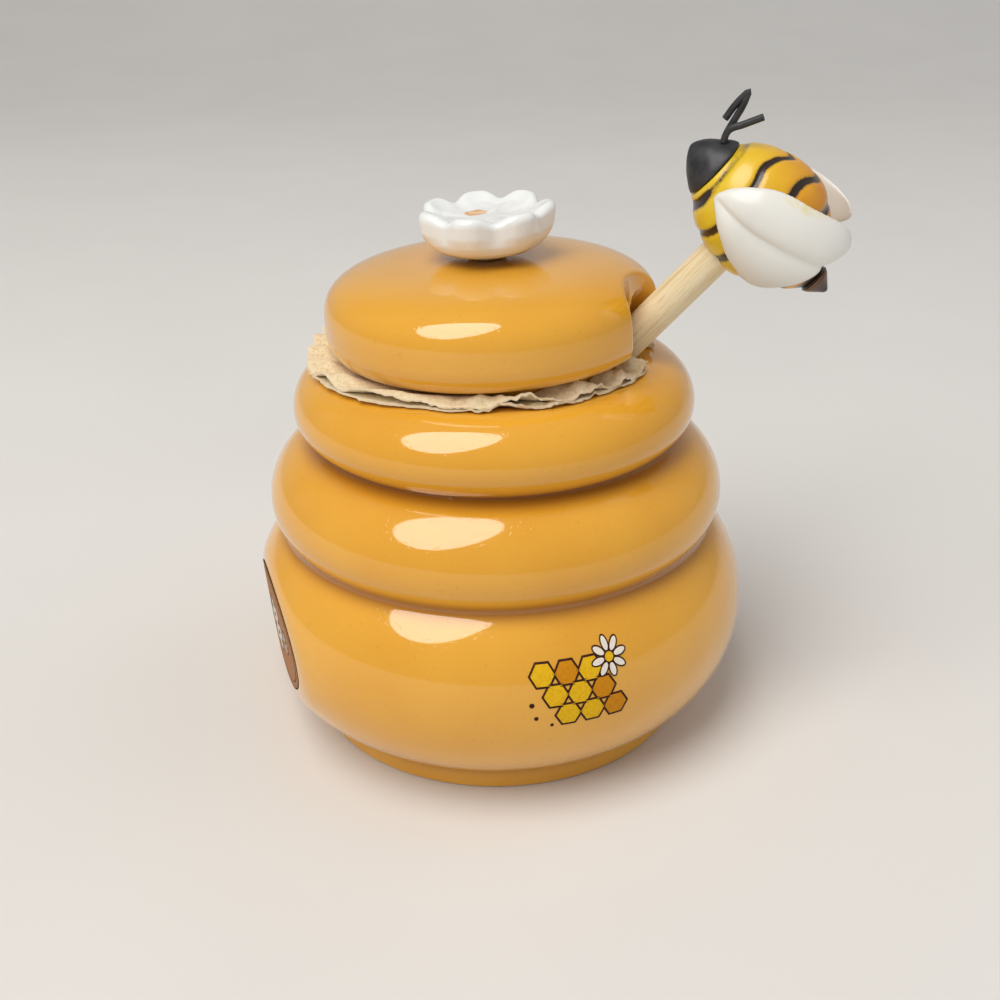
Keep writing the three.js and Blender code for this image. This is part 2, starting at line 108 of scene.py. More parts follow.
class HONEYPOT_PG_lid(bpy.types.PropertyGroup):
    """Sizes of the lid and its flower knob."""

    radius: length("Lid radius", "Widest radius of the lid", 33.9)
    rise: length("Dome rise", "From the widest place up to the knob", 11.9)
    fullness: FloatProperty(
        name="Fullness", description="2 is an ellipse; more fills the shoulders", default=3.45, min=2.0
    )
    wall: length("Lid wall", "Thickness of the lid under the knob", 4.4)
    flange: length("Flange radius", "Outside radius of the flange inside the mouth", 27.4)
    notch: length("Notch clearance", "Between the stick and the notch", 2.5)
    knob: length("Knob radius", "Radius of the flower between petal tip and cleft", 13.1)
    knob_rise: length("Knob height", "Height of the petals above the lid", 10.6)
    petals: IntProperty(name="Petals", description="Number of petals on the knob", default=7, min=3)
    flute: length("Flute spacing", "From crest to crest of the corrugated board", 7.6)
    board: length("Board height", "Thickness of the corrugated board", 2.6)


class HONEYPOT_PG_dipper(bpy.types.PropertyGroup):
    """Sizes of the dipper and its bee."""

    stick: length("Stick radius", "Radius of the turned stick", 3.5)
    head: length("Head radius", "Widest radius of the grooved head", 10.0)
    grooves: IntProperty(name="Grooves", description="Number of grooves that hold honey", default=6, min=1)
    bee: length("Bee radius", "Widest radius of the bee's body", 12.0)
    nose: length("Bee head", "Length of the bee's head", 6.3)
    wing: length("Wing length", "Length of the upper wing", 26.4)
    wire: length("Antenna wire", "Radius of the antenna wire", 0.66)


class HONEYPOT_PG_finish(bpy.types.PropertyGroup):
    """Colours of the glazes, wood, board and paint."""

    glaze: colour("Amber glaze", "Glaze where it lies evenly", "E8AA36")
    # colour of the glaze pooled in the creases, which also stands in as painted shade there
    glaze_deep: colour("Deep glaze", "Glaze pooled in the creases", "A8660F")
    glaze_thin: colour("Thin glaze", "Glaze that ran off a sharp edge", "F0D6A0")
    clay: colour("Clay", "Bare fired clay under the foot", "CDB598")
    porcelain: colour("White glaze", "Glaze of the flower knob", "EEF0EE")
    spot: colour("Flower centre", "Painted centre of the flower", "E2A24A")
    kraft: colour("Kraft paper", "Corrugated board", "E6D3AC")
    wood: colour("Wood", "Turned stick and head", "E9D8B0")
    grain: colour("Wood grain", "Darker streaks in the wood", "D9BE8D")
    bee_yellow: colour("Bee yellow", "Front of the bee", "E7C52E")
    bee_orange: colour("Bee orange", "Back and tail of the bee", "DB8E10")
    bee_brown: colour("Bee bands", "Painted bands on the bee", "2E1C12")
    wing: colour("Bee white", "Moulded wings", "ECEBE4")
    black: colour("Bee black", "Head and antennae", "222224")


# ---- working in bmesh ----


def resampled(points, step):
    """Points at even steps along a polyline."""
    run = [0.0]
    for a, b in zip(points, points[1:]):
        run.append(run[-1] + math.dist(a, b))
    count = max(2, round(run[-1] / step))
    out, i = [], 1
    for n in range(count + 1):
        want = run[-1] * n / count
        while i < len(points) - 1 and run[i] < want:
            i += 1
        t = (want - run[i - 1]) / max(run[i] - run[i - 1], 1e-9)
        out.append(tuple(a + (b - a) * t for a, b in zip(points[i - 1], points[i])))
    return out


def arc(start, end, shared, steps=6):
    """A rounded corner from start to end that bulges towards the point they share."""
    return [
        tuple((1 - t) ** 2 * a + 2 * t * (1 - t) * c + t * t * b for a, b, c in zip(start, end, shared))
        for t in (i / steps for i in range(steps + 1))
    ]


def curve_at(table, place):
    """Reads a table of (place, value) as a smooth curve."""
    last = len(table) - 2
    i = next((i for i in range(last) if place < table[i + 1][0]), last)
    (x0, y0), (x1, y1) = table[i], table[i + 1]
    slopes = []
    for j in (i, i + 1):
        before, after = table[max(j - 1, 0)], table[min(j + 1, last + 1)]
        slopes.append((after[1] - before[1]) / (after[0] - before[0]))
    run = x1 - x0
    t = min(1.0, max(0.0, (place - x0) / run))
    start = ((1 + 2 * t) * y0 + t * run * slopes[0]) * (1 - t) ** 2
    return start + ((3 - 2 * t) * y1 - (1 - t) * run * slopes[1]) * t * t


def step_between(low, high, value):
    """0 below low, 1 above high, smooth between."""
    t = min(1.0, max(0.0, (value - low) / (high - low)))
    return t * t * (3 - 2 * t)


def spun(profile, steps, axis="Z"):
    """Spins (radius, height) points a full turn about the axis into a closed shell."""
    bm = bmesh.new()
    place = (lambda r, h: (r, 0, h)) if axis == "Z" else (lambda r, h: (h, 0, r))
    line = [bm.verts.new(place(r, h)) for r, h in profile]
    edges = [bm.edges.new(pair) for pair in zip(line, line[1:])]
    direction = (0, 0, 1) if axis == "Z" else (1, 0, 0)
    bmesh.ops.spin(
        bm, geom=line + edges, cent=(0, 0, 0), axis=direction, angle=TURN, steps=steps, use_merge=True
    )
    bmesh.ops.remove_doubles(bm, verts=bm.verts, dist=1e-3)
    bmesh.ops.recalc_face_normals(bm, faces=bm.faces)
    return bm


def worked(bm, *modifiers, helper=None):
    """Runs modifiers, each (type, settings), on a copy of bm and returns the result as a new bmesh.
    helper is a second bmesh, given to the settings whose value is the word helper."""
    scene = bpy.context.scene
    made = []
    for part in (bm, helper):
        if part is None:
            continue
        mesh = bpy.data.meshes.new("working")
        part.to_mesh(mesh)
        part.free()
        made.append(bpy.data.objects.new("working", mesh))
        scene.collection.objects.link(made[-1])
    for kind, settings in modifiers:
        modifier = made[0].modifiers.new(kind.title(), kind)
        for key, value in settings.items():
            setattr(modifier, key, made[1] if value == "helper" else value)
    out = bmesh.new()
    out.from_object(made[0], bpy.context.evaluated_depsgraph_get())
    for obj in made:
        mesh = obj.data
        bpy.data.objects.remove(obj)
        bpy.data.meshes.remove(mesh)
    return out


def relaxed(bm, rounds, factor=0.5):
    """Smooths the whole mesh a number of times."""
    every_way = {"use_axis_x": True, "use_axis_y": True, "use_axis_z": True}
    for _ in range(rounds):
        bmesh.ops.smooth_vert(bm, verts=bm.verts, factor=factor, **every_way)


def extruded(bm, faces, by):
    """Extrudes faces, moves the new ones by an offset and returns their vertices."""
    made = bmesh.ops.extrude_face_region(bm, geom=faces)["geom"]
    points = [item for item in made if isinstance(item, bmesh.types.BMVert)]
    bmesh.ops.translate(bm, vec=by, verts=points)
    return points


def search_tree(points):
    """Finds the nearest of some points by radius and height."""
    tree = KDTree(len(points))
    for i, (radius, height, *_) in enumerate(points):
        tree.insert((radius, height, 0), i)
    tree.balance()
    return tree


def marked_edges(bm, layer_name, low, high):
    """Stores how convex the surface is at each vertex, from 0 at a curvature of low to 1 at high, per mm.
    Returns the layer that holds it."""
    layer = bm.verts.layers.float.new(layer_name)
    bm.normal_update()
    raw = {}
    for v in bm.verts:
        near = [e.other_vert(v).co for e in v.link_edges]
        mean = sum(near, Vector()) / len(near)
        span = sum((p - v.co).length for p in near) / len(near)
        raw[v] = 2 * (v.co - mean).dot(v.normal) / max(span * span, 1e-6)
    for _ in range(2):
        raw = {
            v: (c + sum(raw[e.other_vert(v)] for e in v.link_edges)) / (1 + len(v.link_edges))
            for v, c in raw.items()
        }
    for v, c in raw.items():
        v[layer] = step_between(low, high, c)
    return layer


def new_object(name, bm, materials):
    """Turns a bmesh into a smooth object with its materials."""
    for face in bm.faces:
        face.smooth = True
    mesh = bpy.data.meshes.new(name)
    bm.to_mesh(mesh)
    bm.free()
    for material in materials:
        mesh.materials.append(material)
    obj = bpy.data.objects.new(name, mesh)
    bpy.context.scene.collection.objects.link(obj)
    return obj


def publish(name, bm, body, materials, nodes=(), place=None, sharp=None):
    """Turns a bmesh in mm into a finished object in metres that rides on a body. Edges that bend by
    more than sharp, in degrees, stay sharp."""
    bm.transform(Matrix.Scale(MM, 4) @ (place or Matrix()))
    obj = new_object(name, bm, materials)
    if sharp is not None:
        obj.data.set_sharp_from_angle(angle=math.radians(sharp))
    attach(obj, body)
    if nodes:
        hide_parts(*nodes)


# ---- frames of the lid and the dipper, in mm ----

LEAN = math.atan2(*(frame["record"]["behaviour"]["joints"][2]["axis"][i] for i in (0, 2)))
BEE_RISE = 30.4  # from the middle of the notch up to the bee's axis
BEE_LIFT = 0.65  # the glued bee sits this much higher on the stick
BEE_ROLL = math.radians(6)
STICK_FOOT = -82.0  # the stick's lower end, inside the head
STICK_INTO_BEE = 9.0
DIPPER_TIP = -96.0
HEAD_LENGTH = 30.0
LID_TILT = math.radians(2.1)
LID_SEAT = 81.9
EDGE_DOWN = 5.5  # from the lid's widest place down to its seat
EDGE_IN = 4.3  # the seat's outer edge lies this far inside the widest place
LABEL_TURN = math.radians(208.2)
LABEL_TILT = math.radians(3.7)
LABEL_OUT = 0.16  # the label's flat lies this far outside the one its depth gives
LABEL_CURVE = 555  # twice the radius of the flat's gentle curve from side to side
BELLY_HEIGHT = 25.6
FLOWER_SPOT = (-2.3, 2.1, 25.5)  # painted centre of the flower, in the lid's frame
BOARD_HEIGHT = 79.5  # underside of the board above the table


def sizes():
    """The user's sizes and colours."""
    return bpy.context.scene.honey_pot


def stick_top():
    """The stick's upper end, inside the bee."""
    return BEE_RISE - sizes().dipper.bee / MM + STICK_INTO_BEE


def dipper_frame():
    """z runs up the stick from the middle of the notch, x points down and away from the pot."""
    low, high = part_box("dipper_handle")
    along = Vector((math.sin(LEAN), 0, math.cos(LEAN)))
    origin = (low + high) / (2 * MM) - along * (STICK_FOOT + stick_top()) / 2
    return Matrix.Translation(origin) @ Matrix.Rotation(LEAN, 4, "Y")


def bee_frame():
    """x runs along the bee towards its tail."""
    return dipper_frame() @ Matrix.Translation((0, 0, BEE_RISE + BEE_LIFT))


def rolled_frame():
    """The bee's frame, turned by the bee's roll about its own length."""
    return bee_frame() @ Matrix.Rotation(BEE_ROLL, 4, "X")


def lid_frame():
    """The lid's seat plane is z = 0."""
    return Matrix.Translation((0, 0, LID_SEAT)) @ Matrix.Rotation(-LID_TILT, 4, "Y")


# ---- materials ----


def add(tree, kind, inputs=None, stops=None, **settings):
    """Adds a node, sets its attributes and its colour stops, and fills or links its inputs."""
    made = tree.nodes.new("ShaderNode" + kind)
    for key, value in settings.items():
        setattr(made, key, value)
    for i, (place, shade) in enumerate(stops or ()):
        band = made.color_ramp.elements
        stop = band[i] if i < len(band) else band.new(place)
        stop.position, stop.color = place, shade
    for key, value in (inputs or {}).items():
        if isinstance(value, bpy.types.NodeSocket):
            tree.links.new(value, made.inputs[key])
        else:
            made.inputs[key].default_value = value
    return made


def per(size):
    """The scale of a texture whose features are this many mm wide."""
    return 1 / (size * MM)


def tint(value):
    """A colour from a grey of 0 to 1, the name of one of the user's colours or a hex code; a socket stays."""
    if isinstance(value, float):
        return (value, value, value, 1.0)
    if isinstance(value, str):
        own = getattr(sizes().finish, value, None)
        return linear(value) if own is None else tuple(own)
    return value


class Surface:
    """A material in the making. Its methods add nodes and return an output to use in the next."""

    def __init__(self, name):
        self.material = bpy.data.materials.new(name)
        self.material.use_nodes = True
        self.tree = self.material.node_tree
        self.tree.nodes.clear()
        self.where = add(self.tree, "TexCoord").outputs["Object"]

    def noise(self, scale, detail=2.0, where=None, **more):
        """A cloudy value from 0 to 1."""
        inputs = {"Vector": where or self.where, "Scale": scale, "Detail": detail, **more}
        return add(self.tree, "TexNoise", inputs).outputs["Fac"]

    def ramp(self, value, *stops):
        """Colours, or greys, at places from 0 to 1."""
        stops = [(place, tint(shade)) for place, shade in stops]
        return add(self.tree, "ValToRGB", {"Fac": value}, stops).outputs["Color"]

    def mix(self, share, first, second):
        """The first colour where share is 0, the second where it is 1."""
        inputs = {"Fac": share, "Color1": tint(first), "Color2": tint(second)}
        return add(self.tree, "MixRGB", inputs).outputs["Color"]

    def maths(self, operation, *values):
        """One number worked out from others."""
        return add(self.tree, "Math", dict(enumerate(values)), operation=operation).outputs[0]

    def spread(self, value, **ends):
        """A value moved from one range to another; From_Min and the like name the ends."""
        inputs = {key.replace("_", " "): end for key, end in ends.items()}
        return add(self.tree, "MapRange", {"Value": value, **inputs}).outputs[0]

    def split(self, vector):
        """The X, Y and Z of a vector."""
        return add(self.tree, "SeparateXYZ", {"Vector": vector}).outputs

    def mark(self, name):
        """What the mesh stores at its vertices under this name."""
        return add(self.tree, "Attribute", attribute_name=name).outputs["Fac"]

    def within(self, place):
        """Coordinates in mm in a frame of the object."""
        inputs = {
            "Vector": self.where,
            "Location": tuple(place.translation * MM),
            "Rotation": tuple(place.to_euler()),
            "Scale": (MM, MM, MM),
        }
        return add(self.tree, "Mapping", inputs, vector_type="TEXTURE").outputs[0]

    def pulled(self, where, scale, rotation=(0, 0, 0)):
        """Coordinates that run faster along some axes, so that a texture is long along the others."""
        return add(self.tree, "Mapping", {"Vector": where, "Rotation": rotation, "Scale": scale}).outputs[0]

    def finish(self, base, roughness, ior=1.5, coat=None, bump=None, more=None):
        """Adds the shader, with a coat of (weight, roughness) and a bump of (height, strength, distance
        in mm), and returns the material."""
        inputs = {"Base Color": base, "Roughness": roughness, "IOR": ior, **(more or {})}
        if coat:
            inputs["Coat Weight"], inputs["Coat Roughness"] = coat
        if bump:
            height, strength, distance = bump
            lift = {"Height": height, "Strength": strength, "Distance": distance * MM}
            inputs["Normal"] = add(self.tree, "Bump", lift).outputs["Normal"]
        shader = add(self.tree, "BsdfPrincipled", inputs)
        add(self.tree, "OutputMaterial", {"Surface": shader.outputs["BSDF"]})
        return self.material


def amber_glaze(name="glazed_earthenware_amber"):
    """Earthenware dipped in amber glaze and fired: a glassy coat that pools deeper in the creases, where
    painted shade darkens it further, breaks pale where it runs thin over an edge, and keeps faint specks and
    tiny pits."""
    glaze = Surface(name)
    clouds = glaze.ramp(glaze.noise(per(26)), (0.3, "E1A02C"), (0.7, "glaze"))
    specks = glaze.ramp(glaze.noise(per(0.9), 1.0), (0.66, 0.0), (0.8, 1.0))
    dotted = glaze.mix(glaze.maths("MULTIPLY", specks, 0.2), clouds, "B9771B")
    # darker in the pot's creases: pooled glaze together with painted shade
    deep = glaze.mix(glaze.mark("pool"), dotted, "glaze_deep")
    broken = glaze.mix(glaze.mark("thin"), deep, "glaze_thin")
    bare = glaze.maths("LESS_THAN", glaze.split(glaze.where)["Z"], 0.15 * MM)  # the foot is wiped clean
    gloss = glaze.spread(bare, To_Min=0.07, To_Max=0.8)
    ripple = glaze.noise(per(14), 1.0)
    pits = glaze.ramp(glaze.noise(per(0.7), 0.0), (0.24, 0.0), (0.34, 1.0))
    relief = glaze.maths("ADD", ripple, glaze.maths("MULTIPLY", pits, 0.1))
    base = glaze.mix(bare, broken, "clay")
    return glaze.finish(base, gloss, 1.55, coat=(0.5, 0.04), bump=(relief, 0.35, 0.25))


def white_glaze():
    """Opaque white glaze over a hand-pressed flower: wet gloss, a cool white with painted shade in grey low
    under the flower, and a brushed orange spot that sits off centre."""
    glaze = Surface("glazed_earthenware_white")
    local = glaze.within(Matrix.Translation(lid_frame() @ Vector(FLOWER_SPOT)))
    sides = glaze.split(local)
    flat = add(glaze.tree, "CombineXYZ", {"X": sides["X"], "Y": sides["Y"]}).outputs[0]
    far = add(glaze.tree, "VectorMath", {0: flat}, operation="LENGTH").outputs["Value"]
    ragged = glaze.maths("ADD", far, glaze.noise(0.9, where=local))
    spot = glaze.ramp(glaze.maths("MULTIPLY", ragged, 0.2), (0.52, 1.0), (0.62, 0.0))
    painted = glaze.mix(spot, "porcelain", "spot")
    # painted shade: grey on the flower's underside and foot
    base = glaze.mix(glaze.mark("pool"), painted, "C9C6BC")
    finger_marks = glaze.noise(per(3.5), 1.0)
    return glaze.finish(base, 0.12, coat=(0.3, 0.05), bump=(finger_marks, 0.3, 0.3))


def kraft_board():
    """Unbleached kraft paper off a torn corrugated box: matt, fibrous, flecked and paler where it tore."""
    paper = Surface("kraft_corrugated_board")
    felt = paper.noise(per(0.8), 4.0, Roughness=0.7)
    mottled = paper.ramp(felt, (0.28, "C9B388"), (0.5, "kraft"), (0.75, "F0E2C4"))
    fibres = paper.noise(per(6), 3.0, paper.pulled(paper.where, (1, 9, 3), (0, 0, 0.35)))
    streaked = paper.mix(paper.ramp(fibres, (0.52, 0.0), (0.72, 0.5)), mottled, "CCB285")
    base = paper.mix(paper.mark("torn"), streaked, "EAD9B8")
    fuzz = {"Sheen Weight": 0.2, "Sheen Roughness": 0.6, "Specular IOR Level": 0.25}
    return paper.finish(base, 0.95, bump=(felt, 0.8, 0.25), more=fuzz)


def pale_wood():
    """Turned and sanded birch, left bare: straight close grain along the stick with short darker pores."""
    wood = Surface("sanded_birch")
    local = wood.within(dipper_frame())
    rings = wood.noise(0.9, 4.0, wood.pulled(local, (1.0, 1.0, 0.05)), Roughness=0.6)
    tone = wood.ramp(rings, (0.3, "grain"), (0.46, "wood"), (0.7, "F1E3C2"))
    pores = wood.noise(1.0, 2.0, wood.pulled(local, (4.0, 4.0, 0.22)))
    base = wood.mix(wood.ramp(pores, (0.56, 0.0), (0.7, 0.4)), tone, "BE9C68")
    return wood.finish(base, 0.55, 1.45, bump=(pores, 0.35, 0.12))


def bee_paint():
    """Moulded resin, hand painted: golden yellow that deepens to orange on the back, dark brown in the
    grooves between its bands with an olive tone beside them, under a satin varnish."""
    resin = Surface("painted_resin_bee")
    local = resin.within(rolled_frame())
    sides = resin.split(local)
    along = resin.maths("ADD", sides["X"], sides["Z"])
    blotched = resin.maths("MULTIPLY_ADD", resin.noise(0.16, where=local), 12.0, along)
    place = resin.spread(blotched, From_Min=-12.0, From_Max=24.0)
    body = resin.ramp(place, (0.28, "bee_yellow"), (0.58, "E5B420"), (0.92, "bee_orange"))
    brushed = resin.noise(1.4, 3.0, local)
    wobbly = resin.maths("MULTIPLY_ADD", brushed, 0.36, resin.mark("band"))
    olive_beside_bands = resin.mix(resin.ramp(wobbly, (0.38, 0.0), (0.62, 0.62)), body, "8A6A14")
    base = resin.mix(resin.ramp(wobbly, (0.66, 0.0), (0.78, 1.0)), olive_beside_bands, "bee_brown")
    return resin.finish(base, 0.32, coat=(0.25, 0.2), bump=(brushed, 0.25, 0.2))


def wing_resin():
    """Moulded resin sprayed glossy white, a little grey in random patches, with yellow paint that strayed
    onto the upper edge."""
    resin = Surface("painted_resin_wing")
    local = resin.within(rolled_frame())
    white = resin.ramp(resin.noise(0.09, 1.0, local), (0.3, "E3E2DB"), (0.65, "wing"))
    smear = resin.noise(0.55, 3.0, local, Roughness=0.6)
    strayed = resin.ramp(resin.maths("MULTIPLY", resin.mark("brim"), smear), (0.24, 0.0), (0.55, 0.5))
    glow = {
        "Subsurface Weight": 0.08,
        "Subsurface Radius": (2 * MM, 1.6 * MM, 1.2 * MM),
        "Subsurface Scale": 1.0,
    }
    return resin.finish(resin.mix(strayed, white, "E8CF52"), 0.34, coat=(0.2, 0.12), more=glow)


def black_paint(name, roughness):
    """Matt black paint with a faint grey bloom."""
    paint = Surface(name)
    base = paint.ramp(paint.noise(per(2.5), 4.0), (0.3, "black"), (0.75, "3D3D40"))
    return paint.finish(base, roughness, 1.48, bump=(paint.noise(per(0.5)), 0.3, 0.1))


def amber_tail():
    """Translucent-looking amber paint on resin that runs to black at the point."""
    resin = Surface("painted_resin_tail")
    blotch = resin.noise(per(2))
    reach = resin.maths("MULTIPLY_ADD", blotch, 1.6, resin.split(resin.within(rolled_frame()))["X"])
    place = resin.spread(reach, From_Min=15.5, From_Max=21.5)
    base = resin.ramp(place, (0.1, "8F5E14"), (0.45, "5A3810"), (0.8, "1E130C"))
    return resin.finish(base, 0.3, coat=(0.3, 0.15), bump=(blotch, 0.3, 0.2))


def transfer_ink(name, code, mottle):
    """Printed transfer: flat ceramic ink with a faint screen mottle, duller than the glaze round it."""
    ink = Surface(name)
    return ink.finish(ink.ramp(ink.noise(per(0.6)), (0.3, mottle), (0.6, code)), 0.6, 1.2)


# ---- pot ----


def rolls():
    """Each roll: height of its widest place, radius, reach down and up, and depth below and above."""
    pot = sizes().pot
    return (
        (BELLY_HEIGHT, pot.belly / MM, 21.7, 21.7, 18.2, 18.2),
        (51.1, pot.middle / MM, 10.0, 13.6, 12.0, 16.2),
        (70.4, pot.shoulder / MM, 7.6, 8.9, 10.0, 10.2),
    )


def soft_max(a, b, blend):
    """The larger of two lengths, rounded where they cross."""
    near = max(0.0, blend - abs(a - b)) / blend
    return max(a, b) + near * near * blend / 4


def pot_radius(z):
    """Outside radius of the pot at a height."""
    pot = sizes().pot
    radius = pot.foot / MM - max(0.0, z - pot.band / MM) * 0.5
    for i, (height, widest, down, up, deep_down, deep_up) in enumerate(rolls()):
        reach, deep = (down, deep_down) if z < height else (up, deep_up)
        share = abs(z - height) / reach
        here = widest - deep + deep * math.sqrt(max(0.0, 1 - share * share)) - max(0.0, share - 1) * reach * 3
        radius = soft_max(radius, here, pot.valley / MM if i else 1.2)
    return radius


def creases():
    """Heights at which the outside of the pot draws in most, with how dark the pooled glaze and painted shade
    are there.
    """
    found = []
    low, middle, top = (roll[0] for roll in rolls())
    for start, end in ((low, middle), (middle, top)):
        heights = [start + (end - start) * i / 200 for i in range(201)]
        found.append((min(heights, key=pot_radius), 1.0))
    return found + [(sizes().pot.band / MM + 0.4, 0.7)]


def pot_profile():
    """Outline of the pot's wall from the middle of its foot, up the outside and down the inside."""
    pot = sizes().pot
    rim, mouth, wall, floor, foot = (v / MM for v in (pot.rim, pot.mouth, pot.wall, pot.floor, pot.foot))
    edge = 1.2
    outside = [(pot_radius(z), z) for z in (1.0 + (rim - 1.0) * i / 900 for i in range(901))]
    outside = [p for p in resampled(outside, 0.75) if p[0] > mouth + edge * 2.2]
    low = resampled([(pot_radius(z), z) for z in (4.5 + (rim - 4.5) * i / 400 for i in range(401))], 2.0)
    inside = []
    for before, here, after in zip(low, low[1:], low[2:]):
        run = math.dist(before, after)
        inset = (here[0] - (after[1] - before[1]) / run * wall, here[1] + (after[0] - before[0]) / run * wall)
        if floor + 5 < inset[1] < rim - wall and inset[0] > mouth + edge:
            inside.append(inset)
    inside.reverse()
    ceiling = rim - wall
    last = inside[-1]
    return (
        [(0, 0), (foot * 0.5, 0)]
        + arc((foot - 1.0, 0), (foot, 1.0), (foot, 0))
        + outside[1:]
        + arc((mouth + edge * 1.4, rim), (mouth, rim - edge * 1.2), (mouth, rim))
        + arc((mouth, ceiling + edge), (mouth + edge, ceiling), (mouth, ceiling), 4)
        + inside
        + arc((last[0] - 0.2, floor + 5), (last[0] - 10, floor), (last[0] - 2.5, floor))
        + [(last[0] * 0.4, floor), (0, floor)]
    )


def label_face(aside):
    """How far out the label's nearly flat place lies; it keeps a gentle curve from side to side."""
    pot = sizes().pot
    return (pot.belly - pot.label_depth) / MM + LABEL_OUT - aside * aside / LABEL_CURVE


def label_frame():
    """The label's flat is the plane x = belly radius less its depth; y runs along it and z up it."""
    turned = Matrix.Rotation(LABEL_TURN, 4, "Z") @ Matrix.Translation((0, 0, BELLY_HEIGHT))
    return turned @ Matrix.Rotation(LABEL_TILT, 4, "Y")


def make_pot():
    """The pot's wall, with its label flat pressed in and its creases marked where glaze pools and painted shade
    darkens them.
    """
    pot = sizes().pot
    bm = spun(pot_profile(), 240)
    back = label_frame()
    into = back.inverted()
    soft = 1.3  # how far the edge of the label's flat is rounded
    pool_and_shade_width = 1.5  # half the width of the band of pooled glaze and painted shade
    pool = bm.verts.layers.float.new("pool")
    thin = bm.verts.layers.float.new("thin")
    lows = creases()
    for v in bm.verts:
        radius = math.hypot(v.co.x, v.co.y)
        if radius > pot_radius(v.co.z) - 1.2:
            # pooled glaze and painted shade: darker bands at the creases and over the foot
            v[pool] = min(1.0, sum(much * math.exp(-(((v.co.z - z) / pool_and_shade_width) ** 2)) for z, much in lows))
            flat = into @ v.co
            plane = label_face(flat.y)
            past = flat.x - plane
            if past > -soft:
                near = max(0.0, soft - abs(past)) / soft
                flat.x = plane + min(past, 0.0) - near * near * soft / 4
                v.co = back @ flat
        if v.co.z > pot.rim / MM - 0.7 and radius < pot.mouth / MM + 1.4:
            v[thin] = 0.35
    publish("glazed_pot", bm, "pot", [amber_glaze()], ["pot_body"], sharp=50)


# ---- printed places on the pot ----


def leaf_of(bm, sides, radius, ink, stretch=(1, 1), turn=0.0, at=(0, 0), outline=0.0, line_ink=0, lift=0.0):
    """Adds a flat shape with an optional outline of another ink, cut fine enough to follow a curve."""
    made = bmesh.ops.create_circle(bm, cap_ends=True, segments=sides, radius=radius)["verts"]
    place = Matrix.Translation((*at, lift)) @ Matrix.Rotation(turn, 4, "Z") @ Matrix.Diagonal((*stretch, 1, 1))
    bmesh.ops.transform(bm, matrix=place, verts=made)
    faces = list({f for v in made for f in v.link_faces})
    for face in faces:
        face.material_index = ink
    if outline:
        rim = bmesh.ops.inset_individual(bm, faces=faces, thickness=outline, use_even_offset=True)["faces"]
        for face in rim:
            face.material_index = line_ink
        faces += rim
    fans = bmesh.ops.poke(bm, faces=[f for f in faces if len(f.verts) > 4])["faces"]
    faces = [f for f in faces if f.is_valid] + fans
    edges = list({e for f in faces for e in f.edges if e.calc_length() > 1.0})
    bmesh.ops.subdivide_edges(bm, edges=edges, cuts=3 if sides < 9 else 1, use_grid_fill=True)


def thickened(bm, amount):
    """Gives flat ink its hair of thickness, so it is a closed body."""
    bmesh.ops.remove_doubles(bm, verts=bm.verts, dist=1e-4)
    extruded(bm, list(bm.faces), (0, 0, -amount))
    bmesh.ops.recalc_face_normals(bm, faces=bm.faces)


def honeycomb(bm, cells, size, inks, lift=0.0):
    """Six-sided cells, each at (column, row) with the first ink if filled, and outlines in the third."""
    for column, row, filled in cells:
        at = ((column + row * 0.5) * size * math.sqrt(3), row * size * 1.5)
        ink = inks[0] if filled else inks[1]
        line = {"outline": size * 0.15, "line_ink": inks[2]}
        leaf_of(bm, 6, size * 1.02, ink, turn=math.pi / 6, at=at, lift=lift, **line)


def daisy(bm, at, size, inks, lift):
    """A small eight-petal daisy."""
    line = {"outline": size * 0.07, "line_ink": inks[2]}
    for i in range(8):
        turn = TURN * i / 8 + 0.2
        middle = (at[0] + math.cos(turn) * size * 0.62, at[1] + math.sin(turn) * size * 0.62)
        leaf_of(bm, 16, size * 0.4, inks[0], (1, 0.56), turn, middle, lift=lift + 0.004 * i, **line)
    leaf_of(bm, 20, size * 0.3, inks[1], at=at, lift=lift + 0.05, **line)


INKS = (
    ("transfer_yellow", "E8B91F", "DDA716"),
    ("transfer_gold", "D08A17", "C67F12"),
    ("transfer_brown", "3A2013", "4A2A18"),
    ("transfer_white", "ECE4D8", "E2D8C8"),
    ("transfer_tan", "A9744A", "B58257"),
)
YELLOW, GOLD, BROWN, WHITE, TAN = range(5)
# Cells at (column, row), and whether each is filled with the first ink
BELLY_CELLS = (
    (-2, 1, 1), (-1, 1, 0), (-1, 0, 1), (0, 0, 1), (1, 0, 0), (0, -1, 1), (1, -1, 1), (2, -1, 0), (0, 1, 1),
)
LABEL_CELLS = ((-1, 0, 1), (0, 0, 1), (1, 0, 1), (-1, 1, 1), (0, 1, 1), (0, -1, 1), (1, -1, 1))


